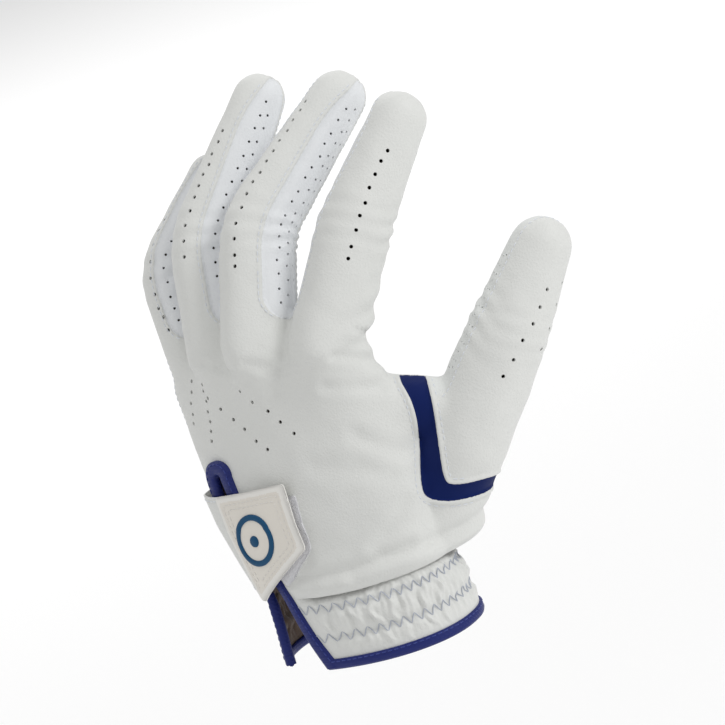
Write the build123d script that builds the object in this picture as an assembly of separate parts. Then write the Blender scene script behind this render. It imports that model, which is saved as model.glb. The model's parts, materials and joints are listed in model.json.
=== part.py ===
from build123d import *
import math
import os

# Golf glove for the left hand, worn shape: fingers a little bent, thumb held out to the side.
# Millimetres. The origin is the centre of the hand opening at the hem, +Z runs up the cuff's axis to
# the fingertips, +X to the thumb side and +Y to the palm side at the back.

# ---- driving sizes -------------------------------------------------------------------------------
LEATHER = 1.0              # thickness of the leather walls
BAND_THICKNESS = 0.9       # navy gusset band laid on the leather
BINDING_LAP = 0.7          # how far a bound edge stands proud of the leather, on each side
ELASTIC_THICKNESS = 0.8    # wrist elastic inside the leather
LOOP_THICKNESS = 1.0       # loop pad sewn to the back
HOOK_THICKNESS = 0.8       # hook pad under the tab
BACKING_THICKNESS = 0.6    # lining of the tab
COVER_THICKNESS = 1.2      # moulded skin of the tab
EMBLEM_THICKNESS = 0.6     # raised plain ring on the tab
PRESS_GAP = 0.3            # air between the hook pad and the loop pad
AXIS_GAP = 0.3             # half of the slot that each bend leaves at its hinge line
BEND_MARGIN = 4.0          # degrees of room past each bend's limit

HAND_LENGTH = 112.0        # from the hem to past the knuckles, where the stalls begin
HAND_WIDTH_GAIN = 0.0      # added to the half width of the whole hand
CUFF_WIDTH = 74.0
CUFF_DEPTH = 52.0
PALM_WIDTH = 86.0
PALM_DEPTH = 44.0
KNUCKLE_DEPTH = 24.0

FORK_WIDTH = 13.0          # width of the side strips between the back and palm of a finger
SLIT_LENGTH = 66.0         # from the hem to the round end
SLIT_MOUTH = 20.0
SLIT_END = 4.0
SLIT_FOOT_Y = -6.0         # middle of the slit's mouth at the hem
SLIT_TOP_Y = 16.0          # middle of its round end
BINDING_WIDTH = 3.2        # width of the bound edges at hem and slit
ELASTIC_LOW = 8.5
ELASTIC_HIGH = 22.0
ELASTIC_END = 12.0         # how far the elastic runs past the hand's middle, towards the slit
EMBLEM_RADIUS = 7.5
EMBLEM_LINE = 2.0

# ---- directions ----------------------------------------------------------------------------------
KNUCKLE_LINE = Vector(-0.743, 0.669, 0).normalized()   # from the index knuckle to the little one
BACK_NORMAL = Vector(-0.614, -0.785, 0.097).normalized()
FACE_NORMAL = Vector(-0.760, -0.650, 0).normalized()   # the way the closure tab faces
FACE_ACROSS = Vector(0.650, -0.760, 0).normalized()    # along the tab, from its root to its point
UP = Vector(0, 0, 1)

# ---- the hand's cross-sections -------------------------------------------------------------------
# height, centre x, centre y, half width, half depth, turn of the wide axis in degrees
HAND_SECTIONS = [
    (-8.0, 0.3, -0.5, CUFF_WIDTH / 2, CUFF_DEPTH / 2, -35),
    (22.0, 0.0, 1.0, CUFF_WIDTH / 2 - 1.5, CUFF_DEPTH / 2 - 2, -36),
    (50.0, -2.0, 6.0, PALM_WIDTH / 2 - 1, PALM_DEPTH / 2, -38),
    (75.0, -4.0, 12.0, PALM_WIDTH / 2 + 1, PALM_DEPTH / 2 - 5, -40),
    (98.0, -5.0, 16.0, PALM_WIDTH / 2, KNUCKLE_DEPTH / 2 + 1, -42),
    (HAND_LENGTH, -6.5, 18.0, PALM_WIDTH / 2 - 2, KNUCKLE_DEPTH / 2 - 1, -42),
]

# ---- the digits ----------------------------------------------------------------------------------
# knuckle, middle and tip are points on the digit's axis; radii are the stall's outer sizes at the
# knuckle, the middle joint and near the tip. A positive turn about an axis bends a finger to the
# palm, and opens the thumb. bend and curl are the limits of the two joints, in degrees.
BEND_AXIS = (-0.6, 0.8, 0.0)
THUMB_AXIS = (0.56, 0.65, -0.40)
DIGITS = {
    "index": dict(
        knuckle=(14.0, -6.0, 99.5), middle=(37.5, 0.0, 135.1), tip=(68.7, 10.0, 167.8),
        radii=(11.2, 11.0, 9.2),
        bend_axis=BEND_AXIS, curl_axis=(-0.3, 0.93, 0.1),
        bend=(-15, 35), curl=(-10, 35), forks=("ulnar",),
    ),
    "middle": dict(
        knuckle=(-6.0, 5.0, 105.5), middle=(6.2, 17.0, 141.3), tip=(53.7, 36.0, 176.2),
        radii=(9.7, 10.6, 9.0),
        bend_axis=BEND_AXIS, curl_axis=(-0.195, 0.948, -0.251),
        bend=(-15, 35), curl=(-20, 25), forks=("ulnar", "radial"),
    ),
    "ring": dict(
        knuckle=(-18.5, 20.0, 103.5), middle=(-12.1, 34.0, 140.3), tip=(27.3, 54.0, 182.9),
        radii=(9.3, 10.2, 8.8),
        bend_axis=BEND_AXIS, curl_axis=(-0.111, 0.936, -0.337),
        bend=(-15, 35), curl=(-20, 20), forks=("ulnar", "radial"),
    ),
    "little": dict(
        knuckle=(-27.0, 38.0, 100.0), middle=(-27.0, 50.0, 132.3), tip=(3.1, 70.0, 160.2),
        radii=(8.9, 9.4, 8.2),
        bend_axis=BEND_AXIS, curl_axis=(-0.288, 0.898, -0.333),
        bend=(-15, 35), curl=(-20, 25), forks=("radial",),
    ),
    "thumb": dict(
        knuckle=(46.5, -12.0, 56.3), middle=(74.0, -12.0, 87.8), tip=(98.5, -8.0, 115.9),
        radii=(13.5, 12.4, 9.4),
        bend_axis=THUMB_AXIS, curl_axis=THUMB_AXIS,
        bend=(-25, 20), curl=(-40, 15), forks=(),
    ),
}
FINGERS = ("index", "middle", "ring", "little")

THUMB_ROOT = Vector(25.7, -4.0, 33.4)
THUMB_ROOT_RADIUS = 17.0
WEB_START = Vector(24.0, -6.0, 76.0)
WEB_END = Vector(44.0, -10.0, 68.0)
WEB_RADIUS = 11.0

# outline of the navy band round the thumb's seat, seen from the front: x, z
GUSSET_OUTLINE = [
    (33.0, 86.0), (35.2, 76.0), (33.6, 65.0), (28.4, 50.5), (28.2, 45.0), (35.4, 41.2), (46.0, 39.4),
    (48.5, 44.2), (37.2, 46.5), (36.2, 50.0), (37.5, 57.0), (39.7, 67.0), (41.5, 77.0), (42.5, 86.0),
]

# the closure tab: distance along FACE_ACROSS, height
TAB_OUTLINE = [(-60.0, 60.0), (-2.0, 62.4), (1.5, 41.0), (-22.9, 24.6), (-60.0, 31.0)]
LOOP_OUTLINE = [(-23.5, 55.5), (0.5, 58.5), (3.6, 40.6), (-9.5, 28.5), (-12.5, 31.0)]
HOOK_OUTLINE = [(-26.0, 54.5), (-4.0, 57.0), (-1.0, 42.0), (-21.0, 29.0), (-25.0, 31.0)]
TAB_ROOT_RISE = 3.0        # how far the tab's root lies in front of the glove's side seam
EMBLEM_PLACE = (-16.5, 46.0)

REACH = 16.0               # how far a tube runs past its joints before it is trimmed
BIG = 260.0


# ---- helpers -------------------------------------------------------------------------------------
def half_space(point, normal):
    """A block that fills everything on the side of point that normal points to."""
    block = Box(BIG, BIG, BIG, align=(Align.CENTER, Align.CENTER, Align.MIN))
    return Plane(origin=point, z_dir=normal) * block


def ellipse_loft(sections):
    """A closed solid through ellipses given as plane, half width, half depth."""
    return loft([plane * Ellipse(width, depth) for plane, width, depth in sections])


def hand_loft(extra):
    """The hand's rounded body from hem to knuckles, grown outwards by extra."""
    sections = []
    for height, x, y, width, depth, turn in HAND_SECTIONS:
        angle = math.radians(turn)
        plane = Plane(
            origin=(x, y, height), x_dir=(math.cos(angle), math.sin(angle), 0), z_dir=(0, 0, 1)
        )
        sections.append((plane, width + HAND_WIDTH_GAIN + extra, depth + extra))
    return ellipse_loft(sections)


def digit_plane(start, end, axis):
    """A plane at start that looks along the digit: x to the little-finger side, y to the back."""
    along = (end - start).normalized()
    side = Vector(*axis)
    side = (side - along * side.dot(along)).normalized()
    return Plane(origin=start, x_dir=side, z_dir=along)


def tube(plane, length, radii, extra, low=REACH, high=REACH):
    """A tapered round tube along plane's z; radii are its sizes at the two joints."""
    slope = (radii[1] - radii[0]) / length
    foot = radii[0] - slope * low + extra
    head = radii[1] + slope * high + extra
    outline = Polyline((0, -low), (foot, -low), (head, length + high), (0, length + high), close=True)
    return plane * revolve(Plane.XZ * make_face(outline), Axis.Z)


def tip_tube(plane, length, radii, extra, low=REACH):
    """The same tube, closed at its far end by a dome that ends at length."""
    dome = radii[1] + extra
    straight = length - radii[1]
    foot = radii[0] + (radii[0] - radii[1]) / straight * low + extra
    outline = Polyline((0, straight), (0, -low), (foot, -low), (dome, straight))
    arc = CenterArc((0, straight), dome, 0, 90)
    axis_line = Line((0, straight + dome), (0, straight))
    half = Plane.XZ * make_face([*outline.edges(), arc, axis_line])
    return plane * revolve(half, Axis.Z)


def roof_below(joint, up, palmward, flex, extend):
    """The two half spaces under a joint that bends flex to the palm side and extend to the back."""
    point = joint - up * AXIS_GAP
    front = (up * math.cos(math.radians(flex)) + palmward * math.sin(math.radians(flex)))
    back = (up * math.cos(math.radians(extend)) - palmward * math.sin(math.radians(extend)))
    return half_space(point, -front), half_space(point, -back)


def roof_above(joint, up, palmward, flex, extend):
    """The two half spaces over the same joint."""
    point = joint + up * AXIS_GAP
    front = (up * math.cos(math.radians(flex)) - palmward * math.sin(math.radians(flex)))
    back = (up * math.cos(math.radians(extend)) + palmward * math.sin(math.radians(extend)))
    return half_space(point, front), half_space(point, back)


def keep_inside(shape, *spaces):
    for space in spaces:
        shape = shape & space
    return shape


def save(name, *shapes):
    """Write one node; its shapes stay separate solids."""
    solids = [solid for shape in shapes for solid in shape.solids()]
    whole = solids[0] if len(solids) == 1 else Compound(children=solids)
    export_step(whole, f"parts/{name}.step")


def spread(digit):
    """How far a joint's two ranges open to the palm side and to the back, per joint."""
    sign = -1 if digit["bend_axis"] == THUMB_AXIS else 1
    rooms = []
    for low, high in (digit["bend"], digit["curl"]):
        flex, extend = (high, -low) if sign > 0 else (-low, high)
        rooms.append((flex + BEND_MARGIN, extend + BEND_MARGIN))
    return sign, rooms


# ---- one digit: base stall, tip stall and the two bends ------------------------------------------
def split_stall(shell, plane, forks, fork_end):
    """Back, palm and fork pieces of a stall, cut where its seams run."""
    half = FORK_WIDTH / 2
    far = BIG / 2

    def block(x_low, x_high, y_low, y_high, z_high):
        box = Box(x_high - x_low, y_high - y_low, z_high + far,
                  align=(Align.MIN, Align.MIN, Align.MIN))
        return plane * Pos(x_low, y_low, -far) * box

    zones = {"ulnar": (0, far), "radial": (-far, 0)}
    fork_blocks = {side: block(*zones[side], -half, half, fork_end) for side in forks}
    rest = shell
    pieces = {}
    for side, fork_block in fork_blocks.items():
        pieces[f"fork_{side}"] = shell & fork_block
        rest = rest - fork_block
    pieces["back"] = rest & block(-far, far, 0, far, far)
    pieces["palm"] = rest & block(-far, far, -far, 0, far)
    return pieces


def make_digit(name, digit):
    knuckle, middle, tip = (Vector(*digit[key]) for key in ("knuckle", "middle", "tip"))
    radii = digit["radii"]
    sign, (bend_room, curl_room) = spread(digit)
    bend_axis = Vector(*digit["bend_axis"]) * sign
    curl_axis = Vector(*digit["curl_axis"]) * sign
    base_plane = digit_plane(knuckle, middle, bend_axis)
    tip_plane = digit_plane(middle, tip, curl_axis)
    base_length = (middle - knuckle).length
    tip_length = (tip - middle).length
    base_shell = tube(base_plane, base_length, radii[:2], 0)
    base_shell -= tube(base_plane, base_length, radii[:2], -LEATHER, REACH + 1, REACH + 1)
    tip_shell = tip_tube(tip_plane, tip_length, radii[1:], 0)
    tip_shell -= tip_tube(tip_plane, tip_length, radii[1:], -LEATHER, REACH + 1)

    # the knuckle: a finger's wedge is all on its own side, the thumb's is shared with its seat
    if name == "thumb":
        seat_up = (base_plane.z_dir + (knuckle - THUMB_ROOT).normalized()).normalized()
        seat_axis = (bend_axis - seat_up * bend_axis.dot(seat_up)).normalized()
        seat_palm = seat_axis.cross(seat_up)
        seat_share = 0.5
    else:
        seat_up = UP
        seat_axis = Vector(bend_axis.X, bend_axis.Y, 0).normalized()
        seat_palm = seat_axis.cross(UP)
        seat_share = 1.0
    base_floor = roof_above(knuckle, seat_up, seat_palm,
                            bend_room[0] * seat_share, bend_room[1] * seat_share)
    seat_roof = roof_below(knuckle, seat_up, seat_palm,
                           bend_room[0] * (1 - seat_share), bend_room[1] * (1 - seat_share))

    # the middle joint: its wedge is shared by both stalls
    joint_up = (base_plane.z_dir + tip_plane.z_dir).normalized()
    joint_axis = (curl_axis - joint_up * curl_axis.dot(joint_up)).normalized()
    joint_palm = joint_axis.cross(joint_up)
    base_roof = roof_below(middle, joint_up, joint_palm, curl_room[0] / 2, curl_room[1] / 2)
    tip_floor = roof_above(middle, joint_up, joint_palm, curl_room[0] / 2, curl_room[1] / 2)

    base_part = keep_inside(base_shell, *base_floor, *base_roof)
    tip_part = keep_inside(tip_shell, *tip_floor)

    bend_below = (base_shell & half_space(middle, -joint_up)) - (base_roof[0] & base_roof[1])
    bend_above = (tip_shell & half_space(middle, joint_up)) - (tip_floor[0] & tip_floor[1])
    knuckle_bend = (base_shell & half_space(middle, -joint_up)) - (seat_roof[0] & seat_roof[1])
    knuckle_bend -= base_floor[0] & base_floor[1]

    fork_end = tip_length - 1.5 * radii[2]
    for stage, part, plane, end in (("base", base_part, base_plane, BIG / 2),
                                    ("tip", tip_part, tip_plane, fork_end)):
        for piece, shape in split_stall(part, plane, digit["forks"], end).items():
            save(f"{name}_{piece}_{stage}", shape)
    save(f"{name}_middle_bend", bend_below, bend_above)
    save(f"{name}_knuckle_bend", knuckle_bend)
    return seat_roof


# ---- the hand ------------------------------------------------------------------------------------
def round_bar(start, end, radius_a, radius_b, extra, high=0.0):
    plane = digit_plane(start, end, (1, 0, 0))
    return tube(plane, (end - start).length, (radius_a, radius_b), extra, 0, high)


def hand_body(extra, thumb_roof):
    """The hand's body with the thumb's seat and the web of skin between thumb and index."""
    knuckle = Vector(*DIGITS["thumb"]["knuckle"])
    size = DIGITS["thumb"]["radii"][0]
    body = hand_loft(extra)
    seat = round_bar(THUMB_ROOT, knuckle, THUMB_ROOT_RADIUS, size, extra, REACH)
    root_ball = Pos(*THUMB_ROOT) * Sphere(THUMB_ROOT_RADIUS + extra)
    web = round_bar(WEB_START, WEB_END, WEB_RADIUS, WEB_RADIUS, extra, 6.0)
    seat = keep_inside(seat, *thumb_roof)
    web = keep_inside(web, *thumb_roof)
    return body + root_ball + seat + web


def knuckle_cut():
    """Everything over the stepped line where the finger stalls begin."""
    places = [Vector(*DIGITS[name]["knuckle"]).dot(KNUCKLE_LINE) for name in FINGERS]
    edges = [-BIG / 2] + [(a + b) / 2 for a, b in zip(places, places[1:])] + [BIG / 2]
    cut = None
    for name, low, high in zip(FINGERS, edges, edges[1:]):
        height = DIGITS[name]["knuckle"][2] - AXIS_GAP
        box = Box(high - low, BIG, BIG, align=(Align.MIN, Align.CENTER, Align.MIN))
        slab = Plane(origin=(0, 0, 0), x_dir=KNUCKLE_LINE, z_dir=(0, 0, 1)) * Pos(low, 0, height) * box
        cut = slab if cut is None else cut + slab
    return cut


def face_prism(outline, start=0.0, grow=0.0):
    """A block with the outline, seen along the way that the tab faces."""
    plane = Plane(origin=FACE_NORMAL * start, x_dir=FACE_ACROSS, z_dir=FACE_NORMAL)
    face = make_face(Polyline(*[(x, z) for x, z in outline], close=True))
    if grow:
        face = offset(face, amount=grow)
    return extrude(plane * face, BIG / 3)


def slit_outline(grow):
    """The slit's wedge with its round end, grown on all sides, as y and z points."""
    top_y, foot_y = SLIT_TOP_Y, SLIT_FOOT_Y
    half_foot = SLIT_MOUTH / 2 + grow
    half_top = SLIT_END / 2 + grow
    line = Polyline((foot_y + half_foot, -20), (foot_y + half_foot, 0), (top_y + half_top, SLIT_LENGTH),
                    (top_y - half_top, SLIT_LENGTH), (foot_y - half_foot, 0),
                    (foot_y - half_foot, -20), close=True)
    side = Plane(origin=(0, 0, 0), x_dir=(0, 1, 0), z_dir=(1, 0, 0))
    wedge = extrude(side * make_face(line), -BIG / 3)
    end = side * Pos(top_y, SLIT_LENGTH, 0) * Circle(half_top)
    return wedge + extrude(end, -BIG / 3)


def layer(low, high):
    """The skin between two distances out from the hand's own surface."""
    return hand_loft(high) - hand_loft(low)


def make_hand(thumb_roof):
    outer = hand_body(0, thumb_roof)
    shell = outer - hand_body_inner(-LEATHER)
    shell = shell - knuckle_cut()
    shell = shell & half_space(Vector(0, 0, 0), UP)
    front = half_space(Vector(0, 0, 0), BACK_NORMAL)
    behind = half_space(Vector(0, 0, 0), -BACK_NORMAL)

    slit = slit_outline(0)
    bound_slit = slit_outline(BINDING_WIDTH)
    save("back_panel", (shell & front) - bound_slit)
    save("palm_panel", shell & behind)

    skin = layer(-LEATHER - BINDING_LAP, BINDING_LAP)
    hem_zone = half_space(Vector(0, 0, -1.6), UP) & half_space(Vector(0, 0, BINDING_WIDTH), -UP)
    slit_zone = half_space(Vector(0, 0, BINDING_WIDTH), UP)
    leather = layer(-LEATHER, 0) & half_space(Vector(0, 0, 0), UP)
    save("hem_binding", (skin & hem_zone) - leather - slit)
    save("slit_binding", (layer(-LEATHER, BINDING_LAP) & (bound_slit - slit)) & slit_zone & front)

    elastic_zone = half_space(Vector(0, 0, ELASTIC_LOW), UP)
    elastic_zone = elastic_zone & half_space(Vector(0, 0, ELASTIC_HIGH), -UP)
    elastic = layer(-LEATHER - ELASTIC_THICKNESS, -LEATHER) & elastic_zone & front
    elastic = elastic - bound_slit
    save("wrist_elastic", elastic & half_space(FACE_ACROSS * -ELASTIC_END, FACE_ACROSS))

    line = Polyline(*GUSSET_OUTLINE, close=True)
    front_plane = Plane(origin=(0, 0, 0), x_dir=(1, 0, 0), z_dir=(0, -1, 0))
    band_block = extrude(front_plane * make_face(line), BIG / 3)
    band = (hand_body(BAND_THICKNESS, thumb_roof) - outer) & band_block
    band = band & half_space(Vector(0, -2, 0), Vector(0, -1, 0))
    save("thumb_gusset_band", band.solids().sort_by(SortBy.VOLUME)[-1])

    save("loop_pad", layer(0, LOOP_THICKNESS) & face_prism(LOOP_OUTLINE))


def hand_body_inner(extra):
    """The hollow of the hand, left open at the thumb's seat."""
    knuckle = Vector(*DIGITS["thumb"]["knuckle"])
    size = DIGITS["thumb"]["radii"][0]
    body = hand_loft(extra)
    seat = round_bar(THUMB_ROOT, knuckle, THUMB_ROOT_RADIUS, size, extra, REACH + 2)
    root_ball = Pos(*THUMB_ROOT) * Sphere(THUMB_ROOT_RADIUS + extra)
    web = round_bar(WEB_START, WEB_END, WEB_RADIUS, WEB_RADIUS, extra, 6.0)
    return body + root_ball + seat + web


# ---- the closure tab -----------------------------------------------------------------------------
def make_tab():
    root = half_space(BACK_NORMAL * TAB_ROOT_RISE, BACK_NORMAL)
    hook_low = LOOP_THICKNESS + PRESS_GAP
    backing_low = hook_low + HOOK_THICKNESS
    cover_low = backing_low + BACKING_THICKNESS
    emblem_low = cover_low + COVER_THICKNESS
    tab_block = face_prism(TAB_OUTLINE) & root
    lining_block = face_prism(TAB_OUTLINE, grow=-0.8) & root
    save("hook_pad", layer(hook_low, backing_low) & face_prism(HOOK_OUTLINE))
    save("tab_backing", layer(backing_low, cover_low) & lining_block)
    save("tab_cover", layer(cover_low, emblem_low) & tab_block)
    plane = Plane(origin=FACE_ACROSS * EMBLEM_PLACE[0] + UP * EMBLEM_PLACE[1],
                  x_dir=FACE_ACROSS, z_dir=FACE_NORMAL)
    ring = Circle(EMBLEM_RADIUS) - Circle(EMBLEM_RADIUS - EMBLEM_LINE)
    dot = Circle(EMBLEM_LINE * 1.3)
    emblem_block = extrude(plane * (ring + dot), BIG / 3)
    save("tab_emblem", layer(emblem_low, emblem_low + EMBLEM_THICKNESS) & emblem_block)


def main():
    os.makedirs("parts", exist_ok=True)
    roofs = {name: make_digit(name, digit) for name, digit in DIGITS.items()}
    make_hand(roofs["thumb"])
    make_tab()


main()
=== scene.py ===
import json
import math

import bpy
import numpy as np
from bpy.props import FloatProperty, FloatVectorProperty, PointerProperty, StringProperty
from mathutils import Matrix, Vector


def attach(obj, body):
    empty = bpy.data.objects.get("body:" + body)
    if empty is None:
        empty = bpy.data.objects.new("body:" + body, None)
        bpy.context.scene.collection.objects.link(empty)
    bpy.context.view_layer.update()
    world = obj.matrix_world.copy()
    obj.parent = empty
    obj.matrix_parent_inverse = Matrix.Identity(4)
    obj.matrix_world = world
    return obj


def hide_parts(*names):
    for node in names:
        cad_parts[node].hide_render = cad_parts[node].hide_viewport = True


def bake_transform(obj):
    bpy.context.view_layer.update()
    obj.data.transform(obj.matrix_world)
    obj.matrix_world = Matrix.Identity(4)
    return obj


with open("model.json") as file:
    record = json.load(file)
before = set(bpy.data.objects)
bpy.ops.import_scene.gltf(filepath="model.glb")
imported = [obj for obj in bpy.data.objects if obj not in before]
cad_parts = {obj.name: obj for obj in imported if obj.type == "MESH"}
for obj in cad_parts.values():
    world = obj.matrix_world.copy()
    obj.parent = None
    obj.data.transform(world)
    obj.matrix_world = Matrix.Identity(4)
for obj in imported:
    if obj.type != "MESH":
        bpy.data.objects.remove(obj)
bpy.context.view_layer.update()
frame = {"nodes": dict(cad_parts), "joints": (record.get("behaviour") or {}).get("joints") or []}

bl_info = {
    "name": "Golf Glove",
    "version": (1, 0, 0),
    "blender": (4, 5, 0),
    "location": "View3D > Sidebar > Glove",
    "description": "Sews a left-hand leather golf glove in a worn shape, with a peel-open closure tab",
    "category": "Add Mesh",
}

MM = 0.001
JOINTS = {joint["name"]: joint for joint in frame["joints"]}
FINGERS = ("index", "middle", "ring", "little")
DIGITS = FINGERS + ("thumb",)


# ---- settings ------------------------------------------------------------------------------------
class GloveLeather(bpy.types.PropertyGroup):
    thickness: FloatProperty(
        name="Thickness", description="Wall of the sheepskin", default=0.8 * MM, unit="LENGTH")
    voxel: FloatProperty(
        name="Pattern step", description="Spacing of the points on the uncut skin", default=1.1 * MM,
        unit="LENGTH")
    lip: FloatProperty(
        name="Seam lip", description="Height of the turned edge beside a seam", default=0.35 * MM,
        unit="LENGTH")
    hole_radius: FloatProperty(
        name="Hole radius", description="Radius of a punched ventilation hole", default=0.66 * MM,
        unit="LENGTH")
    small_hole_radius: FloatProperty(
        name="Small hole radius", description="Radius of a hole in a side strip", default=0.46 * MM,
        unit="LENGTH")
    white: StringProperty(name="White", description="Leather colour", default="#DCDDDA")
    fork_white: StringProperty(name="Fork white", description="Side strip colour", default="#E3E5E7")
    # the suede colour is partly the flesh side's own brown and partly painted shade, darkened so that the
    # inside of the glove and its holes look shadowed
    suede: StringProperty(name="Suede", description="Flesh side of the leather", default="#5E4E44")
    navy: StringProperty(name="Navy", description="Gusset band colour", default="#0A1E5A")
    binding: StringProperty(name="Binding", description="Bound edge colour", default="#16236B")


class GloveThread(bpy.types.PropertyGroup):
    radius: FloatProperty(
        name="Radius", description="Radius of the sewing thread", default=0.17 * MM, unit="LENGTH")
    stitch: FloatProperty(
        name="Stitch", description="Length of one stitch", default=1.5 * MM, unit="LENGTH")
    pitch: FloatProperty(
        name="Pitch", description="Distance from stitch to stitch", default=2.2 * MM, unit="LENGTH")
    colour: StringProperty(name="Colour", description="Thread colour", default="#E4E8EE")


class GloveCuff(bpy.types.PropertyGroup):
    pucker: FloatProperty(
        name="Pucker", description="Depth of the gathers over the elastic", default=0.75 * MM,
        unit="LENGTH")
    zigzag: FloatProperty(
        name="Zigzag", description="Height of a zigzag row", default=3.3 * MM, unit="LENGTH")
    zigzag_pitch: FloatProperty(
        name="Zigzag pitch", description="Length of one zigzag", default=4.0 * MM, unit="LENGTH")
    hem: FloatProperty(
        name="Hem", description="Width of the bound hem", default=3.2 * MM, unit="LENGTH")


class GloveTab(bpy.types.PropertyGroup):
    skin: StringProperty(name="Skin", description="Tab colour", default="#E4DFD6")
    mark: StringProperty(name="Mark", description="Raised ring colour", default="#0F4A70")
    pad: StringProperty(name="Pad", description="Hook and loop colour", default="#F1F1F5")
    thickness: FloatProperty(
        name="Thickness", description="Thickness of the moulded skin", default=1.3 * MM,
        unit="LENGTH")


class GloveStage(bpy.types.PropertyGroup):
    lens: FloatProperty(name="Lens", description="Focal length in millimetres", default=200.0)
    distance: FloatProperty(
        name="Distance", description="Camera to the glove", default=1.343, unit="LENGTH")
    elevation: FloatProperty(
        name="Elevation", description="Camera height angle", default=math.radians(12),
        subtype="ANGLE")
    roll: FloatProperty(
        name="Roll", description="How far the glove leans in the view", default=math.radians(20),
        subtype="ANGLE")
    aim: FloatVectorProperty(
        name="Aim", description="Point that the camera looks at", size=3, unit="LENGTH",
        default=(0.0241, 0.015, 0.087))
    floor: FloatProperty(
        name="Floor", description="Height of the floor", default=-0.22, unit="LENGTH")


GROUPS = {"leather": GloveLeather, "thread": GloveThread, "cuff": GloveCuff, "tab": GloveTab,
          "stage": GloveStage}


def settings(name):
    return getattr(bpy.context.scene, f"glove_{name}")


def mm(value):
    return value / MM


# ---- shapes of the hand and the digits, in millimetres ---------------------------------------------
# height, centre x, centre y, half width, half depth, turn of the wide axis in degrees
HAND_SECTIONS = np.array([
    (-6.0, 0.2, -0.4, 37.0, 26.0, -35),
    (12.0, 0.0, 0.4, 35.2, 24.5, -35),
    (24.0, -0.2, 1.3, 34.8, 23.4, -36),
    (36.0, -1.0, 3.4, 38.5, 22.6, -37),
    (50.0, -2.0, 6.0, 42.0, 21.5, -38),
    (75.0, -4.0, 12.0, 44.5, 17.5, -40),
    (92.0, -5.5, 15.2, 44.0, 14.0, -42),
    (106.0, -6.5, 17.0, 41.5, 12.0, -42),
])
BACK_NORMAL = np.array([-0.614, -0.785, 0.097])
BACK_NORMAL /= np.linalg.norm(BACK_NORMAL)
UP = np.array([0.0, 0.0, 1.0])

TIPS = {"index": (68.7, 10.0, 167.8), "middle": (53.7, 36.0, 176.2), "ring": (27.3, 54.0, 182.9),
        "little": (3.1, 70.0, 160.2), "thumb": (98.5, -8.0, 115.9)}
# half widths across and half depths back to palm, at the knuckle, the middle joint and near the tip
HALF_WIDTHS = {"index": (12.0, 11.6, 9.4), "middle": (10.2, 10.4, 9.0), "ring": (9.8, 10.0, 8.8),
               "little": (9.0, 9.0, 8.2), "thumb": (14.2, 12.8, 9.8)}
HALF_DEPTHS = {"index": (12.6, 12.0, 9.2), "middle": (13.0, 12.6, 9.2), "ring": (12.4, 12.0, 9.0),
               "little": (11.4, 10.6, 8.4), "thumb": (14.2, 12.8, 9.6)}
# degrees by which the seams are turned round the stall, towards the palm
SEAM_TURN = {"index": 44, "middle": 39, "ring": 28, "little": -12, "thumb": -20}
THUMB_ROOT = (25.7, -4.0, 33.4)
# bars from and to, with the radius at each end: the thumb's seat, and the web beside the index finger
THUMB_SEAT = (THUMB_ROOT, (46.5, -12.0, 56.3), 17.0, 13.8)
WEB = ((24.0, -6.0, 76.0), (44.0, -10.0, 68.0), 11.0, 11.0)
CORNER = 9.0            # how far from the middle joint a digit starts to curve
SQUARE = 2.35           # 2 is an oval section, more is squarer


def joint_point(name):
    return np.array(JOINTS[name]["pos_m"]) / MM


def unit(vector):
    return vector / np.linalg.norm(vector)


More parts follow.
